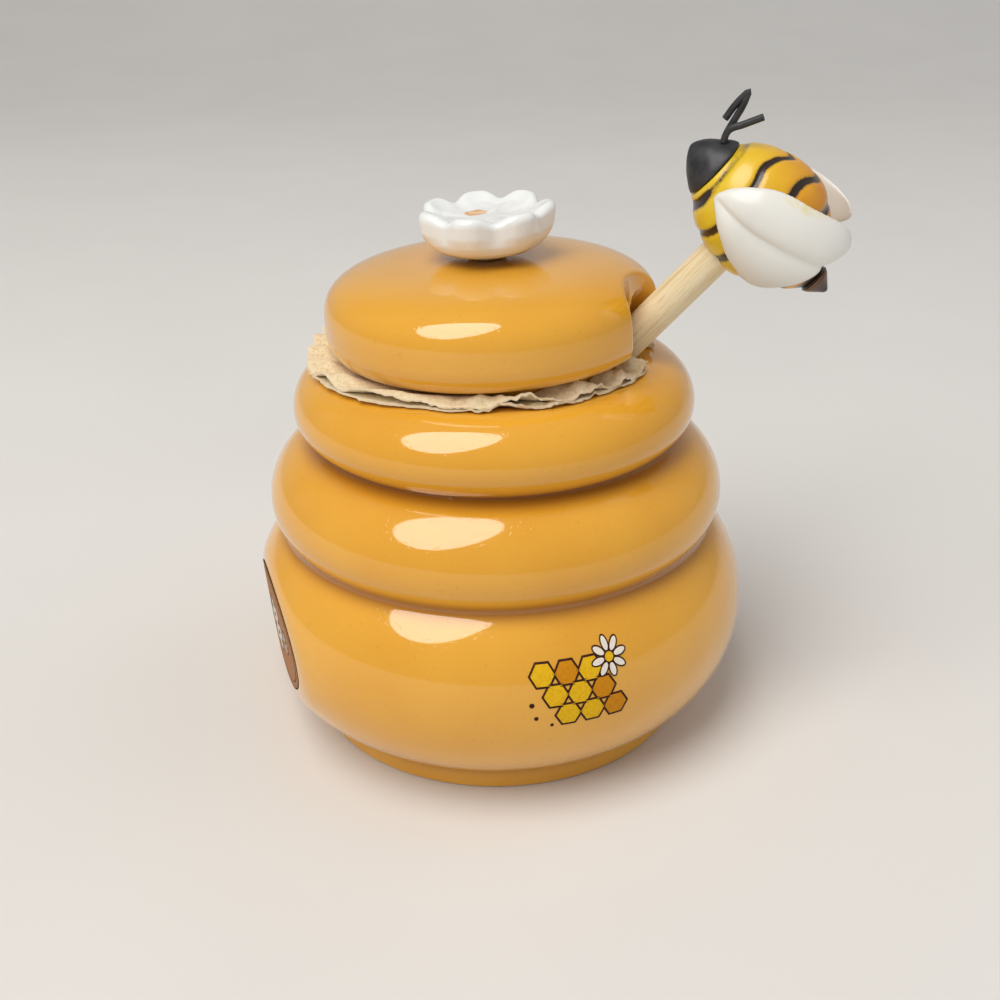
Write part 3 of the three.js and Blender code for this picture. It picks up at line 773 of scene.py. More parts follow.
def make_prints():
    """A printed honeycomb with a daisy on the belly, and an oval label on the flat."""
    inks = [transfer_ink(*ink) for ink in INKS]
    bm = bmesh.new()
    honeycomb(bm, BELLY_CELLS, 2.75, (YELLOW, GOLD, BROWN))
    daisy(bm, (6.6, 5.4), 3.9, (WHITE, YELLOW, BROWN), 0.03)
    for i, at in enumerate(((-9.4, -1.5), (-8.6, -4.4), (-5.6, -6.2))):
        leaf_of(bm, 12, 0.5 - 0.08 * i, BROWN, at=at)
    thickened(bm, 0.05)
    turn, height = math.radians(26.5), 30.2  # where on the belly the print's middle lies
    for v in bm.verts:
        up = height + v.co.y
        radius = pot_radius(up) + 0.07 + v.co.z
        angle = turn + v.co.x / pot_radius(height)
        v.co = (radius * math.sin(angle), -radius * math.cos(angle), up)
    publish("belly_print", bm, "pot", inks)

    bm = bmesh.new()
    leaf_of(bm, 64, 19.3, TAN, stretch=(1, 0.64), outline=0.4, line_ink=BROWN)
    leaf_of(bm, 64, 17.6, TAN, stretch=(1, 0.61), outline=0.28, line_ink=BROWN, lift=0.03)
    honeycomb(bm, LABEL_CELLS, 2.3, (WHITE, WHITE, BROWN), lift=0.06)
    for at in ((-9.6, -0.6), (9.6, 0.6)):
        daisy(bm, at, 2.7, (WHITE, YELLOW, BROWN), 0.06)
    thickened(bm, 0.03)
    for v in bm.verts:
        v.co.z += label_face(v.co.x) + 0.04
    upright = Matrix(((0, 0, 1, 0), (1, 0, 0, 0), (0, 1, 0, 2.1), (0, 0, 0, 1)))
    publish("oval_label", bm, "pot", inks, place=label_frame() @ upright, sharp=40)


# ---- lid and knob ----


SCOOP_AT = (37.2, -7.6)  # middle of the wide scoop that flares the notch on the near side
SCOOP_REACH = (8.4, 13.0)
SCOOP_LEAN = math.radians(-3.5)
SCOOP_SLOPE = 0.061  # how far the scoop's wall leans in over each mm of height
FAR_SIDE = 0.68  # the notch's far side is narrower by this factor
CUT_LENGTH = 64.0  # long enough to pass through the whole lid
VOXEL = 0.36


def lid_outline():
    """Outline of the lid from the middle of its underside, down the flange, round the edge and over
    the dome."""
    lid = sizes().lid
    radius, rise, wall, flange = (v / MM for v in (lid.radius, lid.rise, lid.wall, lid.flange))
    seat, bore, drop = radius - EDGE_IN, flange - 2.8, -6.0
    power = 2 / lid.fullness
    top = EDGE_DOWN + rise
    hollow = top - wall / 2 - EDGE_DOWN
    inner = [
        (bore * math.cos(a) ** 0.8, min(EDGE_DOWN - wall / 2 + hollow * math.sin(a), top - wall))
        for a in (math.pi / 2 * i / 24 for i in range(24, -1, -1))
    ]
    lip = [(bore, drop + 0.8), (bore + 0.8, drop), (flange - 0.8, drop), (flange, drop + 0.8), (flange, 0)]
    edge = [
        (seat + EDGE_IN * math.sin(a), EDGE_DOWN - EDGE_DOWN * math.cos(a))
        for a in (math.pi / 2 * i / 14 for i in range(15))
    ]
    dome = [
        (radius * math.cos(a) ** power, EDGE_DOWN + rise * math.sin(a) ** power)
        for a in (math.pi / 2 * (i / 60) ** 1.2 for i in range(1, 60))
    ]
    return [(0, top - wall)] + inner[1:] + lip + edge + dome + [(0, top)]


def scoop_cutter():
    """The wide oval scoop that flares the notch on the near side; its wall leans in towards the top."""
    bm = bmesh.new()
    bmesh.ops.create_cone(bm, cap_ends=True, segments=96, radius1=1.0, radius2=1.0, depth=CUT_LENGTH)
    leaning = Matrix.Translation((*SCOOP_AT, 0)) @ Matrix.Rotation(SCOOP_LEAN, 4, "Y")
    bm.transform(leaning @ Matrix.Diagonal((*SCOOP_REACH, 1, 1)))
    return bm


def notch_cutter(half):
    """A long U-shaped bar along the stick, open away from the pot."""
    bm = bmesh.new()
    bmesh.ops.create_circle(bm, cap_ends=True, segments=48, radius=half)
    for v in bm.verts:
        if v.co.x > 1e-4:
            v.co.x = CUT_LENGTH / 2
        if v.co.y > 0:
            v.co.y *= FAR_SIDE
    extruded(bm, list(bm.faces), (0, 0, CUT_LENGTH))
    bmesh.ops.translate(bm, vec=(0, 0, -CUT_LENGTH / 2), verts=bm.verts)
    bmesh.ops.recalc_face_normals(bm, faces=bm.faces)
    return bm


def make_lid():
    """The lid: a spun shell with the notch cut through, its cut edges fired soft."""
    half = (sizes().dipper.stick + sizes().lid.notch) / MM
    to_stick = dipper_frame().inverted() @ lid_frame()
    cutter = notch_cutter(half)
    cutter.transform(to_stick.inverted())
    outline = lid_outline()
    cut = ("BOOLEAN", {"operation": "DIFFERENCE", "solver": "EXACT", "object": "helper"})
    bm = worked(spun(outline, 128), cut, helper=cutter)
    bm = worked(bm, cut, ("REMESH", {"mode": "VOXEL", "voxel_size": VOXEL}), helper=scoop_cutter())
    relaxed(bm, 7)
    tree = search_tree(resampled(outline, 0.08))
    for v in bm.verts:  # away from the notch the surface goes back onto the exact outline
        side = to_stick @ v.co
        across = side.y / FAR_SIDE if side.y > 0 else side.y
        away = (math.hypot(side.x, across) if side.x < 0 else abs(across)) - half
        along = (v.co.x + v.co.z * SCOOP_SLOPE - SCOOP_AT[0]) / SCOOP_REACH[0]
        scoop = (math.hypot(along, (v.co.y - SCOOP_AT[1]) / SCOOP_REACH[1]) - 1) * SCOOP_REACH[0]
        keep = step_between(1.2, 3.4, min(away, scoop))
        radius = math.hypot(v.co.x, v.co.y)
        if keep > 0 and radius > 1e-4:
            near, _, _ = tree.find((radius, v.co.z, 0))
            wanted = Vector((v.co.x / radius * near.x, v.co.y / radius * near.x, near.y))
            v.co = v.co.lerp(wanted, keep)
    relaxed(bm, 2, 0.3)
    rise = sizes().lid.rise / MM
    for v in bm.verts:  # the dome stands a little higher on the side away from the dipper
        v.co.z += (0.33 - 0.0145 * v.co.x) * math.sqrt(max(0.0, (v.co.z - EDGE_DOWN) / rise))
    thin = marked_edges(bm, "thin", 0.55, 1.5)
    for v in bm.verts:
        v[thin] = 0.0 if v.co.z < 0.4 else v[thin] * 0.75
    bm.verts.layers.float.new("pool")
    glaze = [amber_glaze("glazed_earthenware_lid")]
    publish("glazed_lid", bm, "lid", glaze, ["lid"], place=lid_frame())


def make_knob():
    """The flower knob: a dish pressed into petals, on a small foot."""
    lid = sizes().lid
    wide, tall, petals = lid.knob / MM, lid.knob_rise / MM, lid.petals
    outline = [  # radius, height, and how much the petals shape it there
        (0, 0, 0), (2.0, 0, 0), (3.7, 0, 0), (4.0, 0.3, 0), (4.1, 0.7, 0), (5.5, 1.0, 0), (7.5, 1.35, 0),
        (9.5, 1.9, 0.05), (wide - 2.0, 2.9, 0.15), (wide - 0.9, 4.4, 0.45), (wide - 0.3, 6.2, 0.85),
        (wide, tall - 1.3, 1), (wide - 0.35, tall - 0.5, 1), (wide - 1.0, tall - 0.05, 1),
        (wide - 1.7, tall - 0.05, 1), (wide - 2.5, tall - 0.6, 0.95), (wide - 4.0, tall - 1.6, 0.7),
        (6.0, tall - 2.2, 0.35), (4.0, tall - 2.35, 0.1), (2.2, tall - 2.3, 0), (0, tall - 2.25, 0),
    ]
    smooth = resampled(outline, 0.45)
    bm = spun([(r, z) for r, z, _ in smooth], petals * 24)
    tree = search_tree(smooth)
    turn = math.radians(6.3)
    for v in bm.verts:
        radius = math.hypot(v.co.x, v.co.y)
        _, i, _ = tree.find((radius, v.co.z, 0))
        amount = smooth[i][2]
        angle = math.atan2(v.co.y, v.co.x)
        wave = math.cos(angle * petals)
        swell = wave**0.6 if wave > 0 else -((-wave) ** 1.4)
        cleft = ((1 - wave) / 2) ** 2.2
        uneven = noise.noise(Vector((math.cos(angle) * 1.3, math.sin(angle) * 1.3, 4.2))) * 0.5
        radius += amount * (0.7 * swell + uneven - 0.35 * cleft)
        z = v.co.z - amount * 1.5 * (v.co.z / tall) ** 3 * cleft + amount * uneven * 0.5
        aside = radius * math.sin(angle + turn)
        v.co = (radius * math.cos(angle + turn), aside, z * (1 + 0.015 * aside / wide))
    relaxed(bm, 2, 0.4)
    # painted shade: the flower's underside and foot, below 4.5 mm, are marked to grey
    pool = bm.verts.layers.float.new("pool")
    for v in bm.verts:
        v[pool] = 0.6 * step_between(4.5, 1.0, v.co.z)
    place = lid_frame() @ Matrix.Translation((0, 0, EDGE_DOWN + lid.rise / MM + 0.42))
    publish("flower_knob_glazed", bm, "lid", [white_glaze()], ["flower_knob"], place=place)


# ---- corrugated board ----


def make_board():
    """The torn ring: a flat liner with a fluted sheet on it, pressed down where the lid sits."""
    lid = sizes().lid
    hole = lid.flange / MM + 0.7
    height = lid.board / MM
    seat = lid.radius / MM - EDGE_IN
    slot = math.asin((sizes().dipper.stick / MM + 2.6) / hole)  # half the angle left open for the stick

    def torn(angle, layer):
        """Radius of the torn edge."""
        c = math.cos(angle)
        broad = 0.7 * (math.sin(angle * 5 + 1) * 0.6 + math.sin(angle * 11) * 0.4)
        rag = noise.noise(Vector((angle * 9, layer * 7.0, 0))) * 0.5
        rag += noise.noise(Vector((angle * 31, layer * 3.0, 2))) * 0.35
        return 33.4 + 2.6 * (c * c - c) + broad + rag

    def crest(r, c):
        """Height of the flutes' crests under the tilted lid."""
        past = min(1.0, max(0.0, r - seat) / EDGE_IN)
        lid_rise = EDGE_DOWN * (1 - math.sqrt(max(0.0, 1 - past * past))) / 2
        return min(height, height - 0.5 + r * c * math.tan(LID_TILT) + lid_rise)

    bm = bmesh.new()
    mark = bm.verts.layers.float.new("torn")
    for layer, across, thick in ((0, 10, 0.4), (1, 16, 0.34)):
        made = bmesh.ops.create_grid(bm, x_segments=520, y_segments=across, size=1.0)["verts"]
        for v in made:
            angle = slot + (TURN - slot * 2) * (v.co.x + 1) / 2
            out = (v.co.y + 1) / 2
            c, s = math.cos(angle), math.sin(angle)
            r = hole + (torn(angle, layer) - hole) * out
            x, y = r * c, r * s
            aside = math.degrees(math.acos(c))
            crushed = step_between(104, 78, aside) if s < 0 else 0.6 * step_between(69, 18, aside)
            folds = noise.noise(Vector((x, y, layer * 5)) * 0.3) * 2.4
            folds += noise.noise(Vector((x, y, 3)) * 0.8) * 0.9
            crumple = crushed * out * folds
            fuzz = noise.noise(Vector((x, y, layer)) * 1.1) * 0.12
            if layer == 0:
                z = 0.24 + fuzz * 0.4 + max(0.0, crumple) * 0.7
            else:
                wave = 0.5 + 0.5 * math.cos(y * TURN / (lid.flute / MM))
                z = 0.66 + (crest(r, c) - 0.86) * wave + fuzz * out + crumple * wave
            v.co = (x, y, max(z, 0.2))
            v[mark] = step_between(0.9, 1.0, out) * 0.8
        faces = list({f for v in made for f in v.link_faces})
        tops = extruded(bm, faces, (0, 0, thick))
        sheet = list({v for f in faces for v in f.verts} | set(tops))
        bmesh.ops.translate(bm, vec=(0, 0, -thick / 2), verts=sheet)
    bmesh.ops.recalc_face_normals(bm, faces=bm.faces)
    place = Matrix.Translation((0, 0, BOARD_HEIGHT))
    paper = [kraft_board()]
    publish("torn_board", bm, "card", paper, ["cardboard_ring"], place=place, sharp=55)


# ---- dipper ----


def make_stick():
    """The turned stick."""
    radius = sizes().dipper.stick / MM
    top = stick_top()
    outline = [(0, STICK_FOOT), (radius, STICK_FOOT)]
    outline += [(radius, z) for z in range(int(STICK_FOOT) + 4, int(top) - 1, 4)]
    outline += [(radius, top - 0.7), (radius - 0.5, top), (0, top)]
    bm, wood = spun(outline, 64), [pale_wood()]
    publish("turned_stick", bm, "dipper", wood, ["dipper_handle"], place=dipper_frame(), sharp=40)


def make_head():
    """The grooved head that holds honey."""
    dipper = sizes().dipper
    radius, stick, grooves = dipper.head / MM, dipper.stick / MM, dipper.grooves
    bore, top = stick + 0.3, DIPPER_TIP + HEAD_LENGTH
    cap = radius / 2.5
    spacing = (top - 5 - DIPPER_TIP - cap) / grooves
    land = spacing * 0.58
    outline = [(0, DIPPER_TIP)]
    outline += arc((cap, DIPPER_TIP), (radius * 0.86, DIPPER_TIP + cap * 0.9), (radius * 0.8, DIPPER_TIP))
    for i in range(grooves):
        z = DIPPER_TIP + cap + spacing * i
        ridge = radius * (0.9 + 0.1 * math.sin((i + 0.5) / grooves * math.pi))
        deep, floor = ridge - 3.4, ridge - 3.0
        outline += arc((ridge - 0.5, z + land * 0.04), (ridge, z + land * 0.3), (ridge, z + land * 0.1), 3)
        outline += arc((ridge, z + land * 0.7), (ridge - 0.5, z + land * 0.96), (ridge, z + land * 0.9), 3)
        outline += arc((floor, z + land + 0.25), (deep, z + land + 0.5), (deep, z + land + 0.25), 2)
        outline += arc((deep, z + spacing - 0.5), (floor, z + spacing - 0.2), (deep, z + spacing - 0.2), 2)
    outline += [(radius * 0.88, top - 4.3), (radius * 0.85, top - 3.2), (radius * 0.72, top - 1.6)]
    outline += [(bore + 1.4, top - 0.2), (bore + 0.9, top), (bore, top)]
    outline += [(bore, STICK_FOOT - 0.3), (0, STICK_FOOT - 0.3)]
    wood = [bpy.data.materials["sanded_birch"]]
    bm = spun(outline, 72)
    publish("grooved_head", bm, "dipper", wood, ["dipper_head"], place=dipper_frame(), sharp=50)


# ---- bee ----

BEE_WIDEST = 2.0  # from the stick's axis to the body's widest place
BEE_START = BEE_WIDEST - 13.8
BEE_END = BEE_WIDEST + 14.4
GLUE = 0.3  # gap between glued pieces
COLLAR_RADIUS = 6.3  # of the head where it meets the body
WING_RISE = math.radians(19.8)  # slope of the upper lobe
WING_BACK = 2.5  # a wing's root lies this far behind the body's front
WING_UP = 0.4  # and this far above the bee's axis
ANTENNA_RISE = 10.4  # length that an antenna's bends are shares of
ANTENNA_FORWARD = 2.5  # the feet stand this far in front of the collar
ANTENNA_ASIDE = 1.3
# Each band: its width, how dark it is on the back and below, and where it lies at angles from the back
# down to the belly
BANDS = (
    (0.95, 0.34, 1.0, (
        (0, -11.0), (34, -11.5), (71, -11.2), (98, -10.3), (118, -10.3), (142, -10.4), (180, -10.0),
    )),
    (1.0, 1.0, 1.0, (
        (0, -3.2), (8, -3.9), (16, -5.1), (28, -6.1), (40, -6.5), (52, -6.3), (62, -5.9), (120, -4.9),
        (146, -5.7), (180, -5.8),
    )),
    (1.2, 1.0, 1.0, (
        (0, 3.0), (9, 2.4), (17, 1.3), (28, 0.3), (38, 0.1), (60, 0.3), (128, 0.3), (149, 0.1), (180, 0.0),
    )),
    (1.1, 1.0, 1.0, ((0, 7.8), (20, 7.7), (90, 6.5), (155, 5.8), (180, 5.7))),
    (1.1, 1.0, 1.0, ((0, 12.0), (90, 12.2), (180, 12.4))),
    (1.9, 0.8, 1.0, ((0, 16.2), (180, 15.8))),
)


def body_radius(x):
    """Radius of the bee's body at a place along it."""
    widest = sizes().dipper.bee / MM
    past = x - BEE_WIDEST
    if past < 0:
        return widest * math.sqrt(max(0.0, 1 - (past / 16.3) ** 2))
    return widest * max(0.0, 1 - (past / 16.8) ** 1.9)


def droop(x):
    """How far the bee's back end hangs below its axis."""
    return 1.8 * (max(0.0, x - BEE_WIDEST) / (BEE_END - BEE_WIDEST)) ** 2


def make_body():
    """The bee's body: an egg with soft ribs between grooves that hold the painted bands."""
    places = [BEE_START + (BEE_END - BEE_START) * i / 200 for i in range(201)]
    outline = resampled([(body_radius(x), x) for x in places], 0.35)
    bm = spun([(0, BEE_START), *outline, (0, BEE_END)], 96, axis="X")
    band = bm.verts.layers.float.new("band")
    for v in bm.verts:
        out = math.hypot(v.co.y, v.co.z)
        if out < 1e-3:
            continue
        angle = math.degrees(math.acos(v.co.z / out))
        dent = shade = 0.0
        for width, above, below, table in BANDS:
            dark = above + (below - above) * step_between(95, 122, angle)
            wobble = noise.noise(Vector((v.co.y, v.co.z, width * 9)) * 0.3) * 0.35
            away = (v.co.x - curve_at(table, angle) - wobble) / width
            dent += math.exp(-away * away * 1.7)
            shade += dark * math.exp(-away * away * 1.7)
        collar = (v.co.x - BEE_START - 1.05) / 0.35  # the thin second ridge behind the head
        dent += 0.45 * math.exp(-collar * collar)
        shade += 0.3 * math.exp(-collar * collar)
        v[band] = min(1.0, shade)
        shrink = 1 - 0.42 * dent / out
        v.co.y *= shrink
        v.co.z = v.co.z * shrink - droop(v.co.x)
    paint = [bee_paint()]
    publish("bee_body_painted", bm, "dipper", paint, ["bee_body"], place=rolled_frame(), sharp=60)


def head_radius(forward):
    """Radius of the bee's head at a distance in front of the collar."""
    share = forward / (sizes().dipper.nose / MM)
    return COLLAR_RADIUS * (1 - (share / 1.2) ** 1.3) * math.sqrt(max(0.0, 1 - share**8))


def make_bee_head():
    """The bee's head: a blunt black cone with a softly folded collar."""
    nose = sizes().dipper.nose / MM
    outline = [(0, -nose)]
    for i in range(35, -1, -1):
        forward = nose * math.sin(i / 36 * math.pi / 2)
        outline.append((head_radius(forward), -forward))
    outline += [(head_radius(0) - 0.5, 0.0), (0, 0.0)]
    bm = spun(outline, 64, axis="X")
    for v in bm.verts:
        push = noise.noise(Vector(v.co) * 0.35) * 0.25
        v.co += Vector((0, v.co.y, v.co.z)).normalized() * push
    relaxed(bm, 1, 0.4)
    place = bee_frame() @ Matrix.Translation((BEE_START - GLUE, 0, 0))
    black = [black_paint("matt_black_resin", 0.46)]
    publish("bee_head_painted", bm, "dipper", black, ["bee_head"], place=place, sharp=50)


def make_stinger():
    """The pointed end of the bee."""
    base = body_radius(BEE_END)
    outline = [(0, 0), (base, 0), (base * 0.9, 0.7), (base * 0.66, 1.6), (base * 0.4, 2.5)]
    outline += [(base * 0.18, 3.3), (0, 3.6)]
    bm = spun(resampled(outline, 0.25), 40, axis="X")
    place = bee_frame() @ Matrix.Translation((BEE_END + GLUE, 0, -droop(BEE_END)))
    publish("bee_tail_painted", bm, "dipper", [amber_tail()], ["bee_stinger"], place=place, sharp=60)


# Each lobe's edges, as shares of the wing's length: how far along, then the upper and the lower edge
UPPER_LOBE = (
    (-0.038, -0.035, -0.048), (0.028, 0.040, -0.066), (0.098, 0.089, -0.089), (0.174, 0.127, -0.108),
    (0.299, 0.168, -0.136), (0.447, 0.176, -0.153), (0.606, 0.154, -0.167), (0.727, 0.137, -0.175),
    (0.814, 0.120, -0.184), (0.886, 0.098, -0.163), (0.936, 0.072, -0.118), (0.977, 0.027, -0.068),
    (0.996, -0.012, -0.034),
)
LOWER_LOBE = (
    (-0.023, -0.057, -0.072), (0.053, -0.053, -0.129), (0.136, -0.045, -0.188), (0.205, -0.038, -0.225),
    (0.333, -0.019, -0.288), (0.455, 0.011, -0.318), (0.593, 0.049, -0.331), (0.693, 0.080, -0.280),
    (0.773, 0.110, -0.182), (0.830, 0.121, -0.091), (0.871, 0.125, 0.008), (0.886, 0.114, 0.060),
)


def wing_inside(x, up):
    """How far out a wing's inner side lies, so that it hugs the body."""
    past = max(0.0, x - BEE_WIDEST) / 20.0
    behind = sizes().dipper.bee / MM * math.sqrt(max(0.0, 1 - past * past))
    hug = (body_radius(x) if x < BEE_WIDEST else behind) + 0.35
    return math.sqrt(max(3.5**2, hug * hug - (up * 0.92) ** 2))


def add_lobe(bm, side, long, rise, edges, thick, lift):
    """Adds one pillow-shaped lobe: a ball drawn out between the lobe's two edges."""
    made = bmesh.ops.create_uvsphere(bm, u_segments=64, v_segments=64, radius=1.0)["verts"]
    ahead, up = math.cos(rise), math.sin(rise)
    upper = [(place, high) for place, high, _ in edges]
    lower = [(place, low) for place, _, low in edges]
    widest = max(high - low for _, high, low in edges)
    for v in made:
        place = edges[0][0] + (edges[-1][0] - edges[0][0]) * (v.co.z + 1) / 2
        girth = max(1e-6, math.hypot(v.co.x, v.co.y))
        high, low = curve_at(upper, place), curve_at(lower, place)
        closing = min(1.0, girth * 4)
        across = long * ((high + low) / 2 + (high - low) / 2 * closing * v.co.x / girth)
        x = BEE_START + WING_BACK + long * place * ahead - across * up
        z = WING_UP + lift + long * place * up + across * ahead
        body = thick * (0.55 + 0.45 * (high - low) / widest) * closing
        away = 0.6 * max(0.0, z - 3.0) * step_between(0.15, 0.7, place) if lift else 0.0
        v.co = (x, side * (wing_inside(x, z) + thick * 0.9 + away + body * v.co.y / girth), z)


def make_wing(side, name, node, material):
    """A wing: two lobes fused with a soft crease between them. The far one sits a little higher and bears
    no stray paint."""
    far = side > 0
    long = sizes().dipper.wing / MM * (0.975 if far else 0.985)
    lift = 0.6 if far else 0.0
    bm = bmesh.new()
    add_lobe(bm, side, long, WING_RISE, UPPER_LOBE, 1.3, lift)
    add_lobe(bm, side, long, math.radians(-0.6), LOWER_LOBE, 1.05, lift)
    bmesh.ops.recalc_face_normals(bm, faces=bm.faces)
    bm = worked(bm, ("REMESH", {"mode": "VOXEL", "voxel_size": 0.26}))
    relaxed(bm, 6)
    brim = bm.verts.layers.float.new("brim")
    for v in bm.verts:
        along = v.co.x - BEE_START - WING_BACK
        across = (v.co.z - WING_UP) * math.cos(WING_RISE) - along * math.sin(WING_RISE)
        run = (v.co.x - BEE_START) / long
        v[brim] = 0.0 if far else step_between(1.4, 4.2, across) * step_between(0.25, 0.6, run)
    publish(name, bm, "dipper", [material], [node], place=rolled_frame())


NEAR_ANTENNA = ((0, 0), (-0.075, 0.21), (0.035, 0.46), (0.19, 0.79))
FAR_ANTENNA = (
    (0, 0), (-0.045, 0.12), (-0.105, 0.36), (-0.18, 0.64), (-0.272, 0.85), (-0.275, 0.55), (-0.23, 0.24),
)


def make_antenna(side, name, node, bends, material):
    """An antenna: black wire, bent by hand, with a sharp kink where it is highest."""
    forward = BEE_START - GLUE - ANTENNA_FORWARD
    foot = math.sqrt(head_radius(ANTENNA_FORWARD) ** 2 - ANTENNA_ASIDE**2) + 0.1
    kink = max(v for _, v in bends)
    curve = bpy.data.curves.new(name, "CURVE")
    curve.dimensions = "3D"
    curve.bevel_depth = sizes().dipper.wire / MM
    curve.bevel_resolution = 4
    curve.resolution_u = 10
    curve.use_fill_caps = True
    spline = curve.splines.new("BEZIER")
    spline.bezier_points.add(len(bends) - 1)
    for i, (point, (u, v)) in enumerate(zip(spline.bezier_points, bends)):
        aside = side * ANTENNA_ASIDE * (1 + 0.5 * i / len(bends))
        point.co = (forward + u * ANTENNA_RISE, aside, foot + v * ANTENNA_RISE)
        point.handle_left_type = point.handle_right_type = "VECTOR" if v == kink else "AUTO"
    holder = bpy.data.objects.new(name + "_path", curve)
    bpy.context.scene.collection.objects.link(holder)
    drawn = holder.evaluated_get(bpy.context.evaluated_depsgraph_get())
    tube = bpy.data.meshes.new_from_object(drawn)
    bm = bmesh.new()
    bm.from_mesh(tube)
    bpy.data.meshes.remove(tube)
    bpy.data.objects.remove(holder)
    bpy.data.curves.remove(curve)
    bmesh.ops.remove_doubles(bm, verts=bm.verts, dist=1e-3)
    bmesh.ops.recalc_face_normals(bm, faces=bm.faces)
    publish(name, bm, "dipper", [material], [node], place=rolled_frame(), sharp=50)


# ---- stage ----


PHOTO_TURN = math.radians(10)  # the camera and the backdrop are turned this far about the pot
LAMPS_LOOK_AT = (0, -0.03, 0.06)


def lamp(name, direction, far, size, power, code, shape="ELLIPSE"):
    """An area lamp that shines on the pot from a direction."""
    data = bpy.data.lights.new(name, "AREA")
    data.shape, data.size, data.size_y, data.energy = shape, *size, power
    data.color = linear(code)[:3]
    obj = bpy.data.objects.new(name, data)
    away = Vector(direction).normalized()
    aimed = away.to_track_quat("Z", "Y").to_matrix().to_4x4()
    obj.matrix_world = Matrix.Translation(Vector(LAMPS_LOOK_AT) + away * far) @ aimed
    bpy.context.scene.collection.objects.link(obj)
    return obj


def make_camera():
    """The camera at the photograph's view."""
    data = bpy.data.cameras.new("photo_view")
    data.sensor_width, data.lens = 36.0, 43.2
    data.clip_start, data.clip_end = 0.01, 20.0
    camera = bpy.data.objects.new("photo_view", data)
    camera.matrix_world = (
        Matrix.Translation(Vector((42.02, -233.38, 162.25)) * MM)
        @ Matrix.Rotation(PHOTO_TURN, 4, "Z")
        @ Matrix.Rotation(math.radians(90 - 26.255), 4, "X")
        @ Matrix.Rotation(math.radians(-1.10), 4, "Z")
    )
    bpy.context.scene.collection.objects.link(camera)
    bpy.context.scene.camera = camera


def make_stage():
    """A pale floor that sweeps up behind, soft light from upper left and the photograph's camera. In metres."""
    paper = Surface("pale_studio_paper")
    base = paper.ramp(paper.noise(per(90)), (0.3, "DEDCD8"), (0.7, "E1DFDB"))
    bm = bmesh.new()
    sweep = [(-3.0, 0)] + arc((0.9, 0), (1.9, 1.0), (1.9, 0), 24) + [(1.9, 4.0)]
    line = [bm.verts.new((-3.5, y, z)) for y, z in sweep]
    edges = [bm.edges.new(pair) for pair in zip(line, line[1:])]
    made = bmesh.ops.extrude_edge_only(bm, edges=edges)["geom"]
    points = [item for item in made if isinstance(item, bmesh.types.BMVert)]
    bmesh.ops.translate(bm, vec=(7.0, 0, 0), verts=points)
    bmesh.ops.recalc_face_normals(bm, faces=bm.faces)
    bm.transform(Matrix.Rotation(PHOTO_TURN, 4, "Z"))
    new_object("studio_sweep", bm, [paper.finish(base, 0.85)])

    lamp("window_soft", (-0.267, -0.434, 0.861), 1.6, (1.05, 1.7), 24.0, "FFFBF6")
    fill = lamp("fill_back_right", (0.9, 0.35, 0.6), 1.8, (1.8, 1.8), 6.0, "F2F4FF", "RECTANGLE")
    fill.visible_glossy = False
    world = bpy.data.worlds.new("studio_air")
    world.use_nodes = True
    world.node_tree.nodes.clear()
    air = add(world.node_tree, "Background", {"Color": linear("F1F2F4"), "Strength": 0.36})
    add(world.node_tree, "OutputWorld", {"Surface": air.outputs["Background"]})
    bpy.context.scene.world = world
    bpy.context.scene.view_settings.view_transform = "Standard"
    make_camera()


# ---- add-on ----


class HONEYPOT_PG_all(bpy.types.PropertyGroup):
    """Everything a user may change."""

    pot: PointerProperty(type=HONEYPOT_PG_pot, name="Pot", description="Sizes of the pot")
    lid: PointerProperty(type=HONEYPOT_PG_lid, name="Lid", description="Sizes of the lid, knob and board")
    dipper: PointerProperty(type=HONEYPOT_PG_dipper, name="Dipper", description="Sizes of the dipper and bee")
    finish: PointerProperty(type=HONEYPOT_PG_finish, name="Finish", description="Colours")


class HONEYPOT_OT_pot(bpy.types.Operator):
    """Build the glazed pot"""

    bl_idname = "honey_pot.pot"
    bl_label = "Pot"

    def execute(self, context):
        make_pot()
        return {"FINISHED"}


class HONEYPOT_OT_prints(bpy.types.Operator):
    """Build the printed honeycomb and the oval label"""

    bl_idname = "honey_pot.prints"
    bl_label = "Prints"

    def execute(self, context):
        make_prints()
        return {"FINISHED"}


class HONEYPOT_OT_board(bpy.types.Operator):
    """Build the torn ring of corrugated board"""

    bl_idname = "honey_pot.board"
    bl_label = "Board Ring"

    def execute(self, context):
        make_board()
        return {"FINISHED"}


class HONEYPOT_OT_lid(bpy.types.Operator):
    """Build the lid with its notch and flower knob"""

    bl_idname = "honey_pot.lid"
    bl_label = "Lid"

    def execute(self, context):
        make_lid()
        make_knob()
        return {"FINISHED"}


class HONEYPOT_OT_dipper(bpy.types.Operator):
    """Build the dipper's stick and grooved head"""

    bl_idname = "honey_pot.dipper"
    bl_label = "Dipper"

    def execute(self, context):
        make_stick()
        make_head()
        return {"FINISHED"}


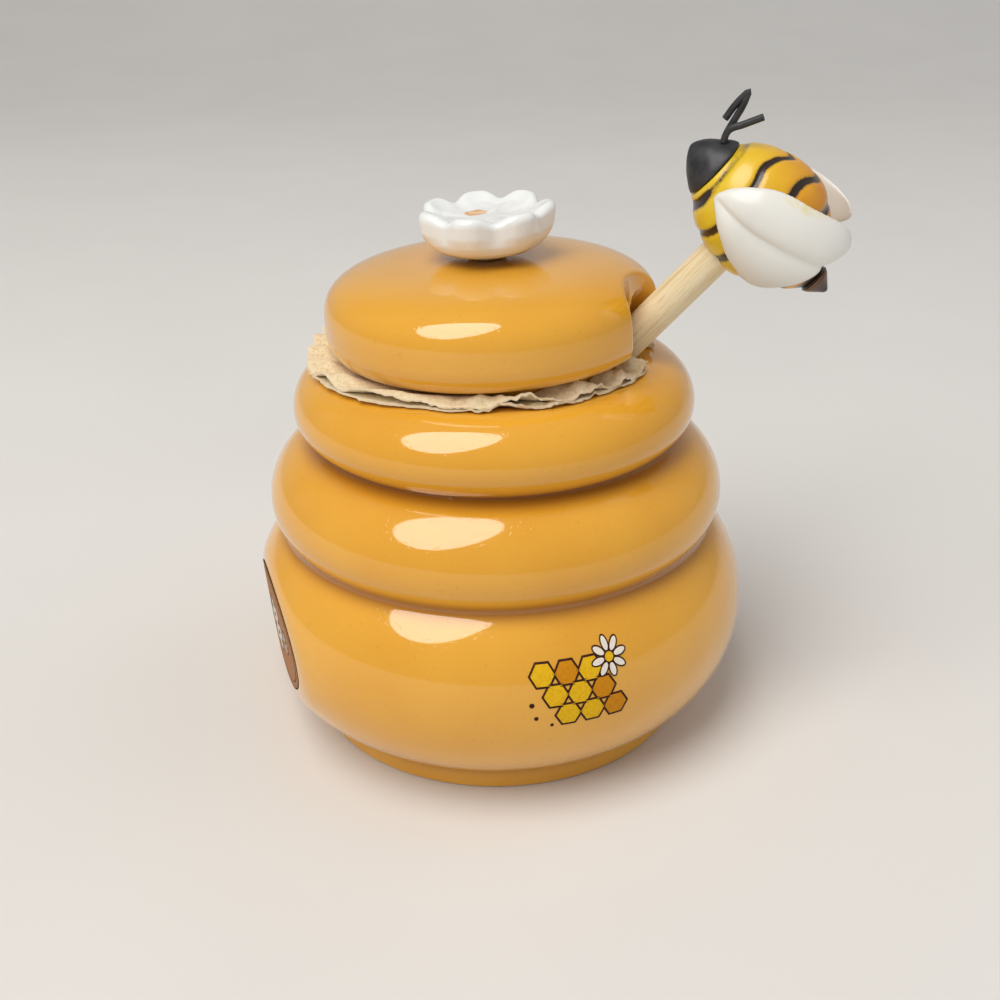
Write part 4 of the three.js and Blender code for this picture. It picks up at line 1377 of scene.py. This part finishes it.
class HONEYPOT_OT_bee(bpy.types.Operator):
    """Build the bee with its wings, antennae and tail"""

    bl_idname = "honey_pot.bee"
    bl_label = "Bee"

    def execute(self, context):
        make_body()
        make_bee_head()
        make_stinger()
        white = wing_resin()
        make_wing(-1, "wing_near_moulded", "bee_wing_near", white)
        make_wing(1, "wing_far_moulded", "bee_wing_far", white)
        black = black_paint("black_painted_wire", 0.5)
        make_antenna(-1, "antenna_near_wire", "bee_antenna_near", NEAR_ANTENNA, black)
        make_antenna(1, "antenna_far_wire", "bee_antenna_far", FAR_ANTENNA, black)
        return {"FINISHED"}


class HONEYPOT_OT_stage(bpy.types.Operator):
    """Set the floor, the light and the camera"""

    bl_idname = "honey_pot.stage"
    bl_label = "Stage"

    def execute(self, context):
        make_stage()
        return {"FINISHED"}


OPERATORS = (
    HONEYPOT_OT_stage,
    HONEYPOT_OT_pot,
    HONEYPOT_OT_prints,
    HONEYPOT_OT_board,
    HONEYPOT_OT_lid,
    HONEYPOT_OT_dipper,
    HONEYPOT_OT_bee,
)


class HONEYPOT_PT_panel(bpy.types.Panel):
    """Lists the sizes, the colours and the pieces."""

    bl_label = "Honey Pot"
    bl_idname = "HONEYPOT_PT_panel"
    bl_space_type = "VIEW_3D"
    bl_region_type = "UI"
    bl_category = "Honey Pot"

    def draw(self, context):
        layout = self.layout
        everything = context.scene.honey_pot
        for name in ("pot", "lid", "dipper", "finish"):
            box = layout.box()
            box.label(text=name.title())
            group = getattr(everything, name)
            for key in group.bl_rna.properties.keys():
                if key not in {"rna_type", "name"}:
                    box.prop(group, key)
        for operator in OPERATORS:
            layout.operator(operator.bl_idname)


GROUPS = (HONEYPOT_PG_pot, HONEYPOT_PG_lid, HONEYPOT_PG_dipper, HONEYPOT_PG_finish, HONEYPOT_PG_all)
CLASSES = (*GROUPS, *OPERATORS, HONEYPOT_PT_panel)


def register():
    """Adds the classes and the scene's settings."""
    for cls in CLASSES:
        bpy.utils.register_class(cls)
    bpy.types.Scene.honey_pot = PointerProperty(type=HONEYPOT_PG_all)


def unregister():
    """Takes them out again."""
    del bpy.types.Scene.honey_pot
    for cls in reversed(CLASSES):
        bpy.utils.unregister_class(cls)


def main():
    """Builds the whole object in order."""
    register()
    bpy.ops.honey_pot.stage()
    bpy.ops.honey_pot.pot()
    bpy.ops.honey_pot.prints()
    bpy.ops.honey_pot.board()
    bpy.ops.honey_pot.lid()
    bpy.ops.honey_pot.dipper()
    bpy.ops.honey_pot.bee()


if __name__ == "__main__":
    main()
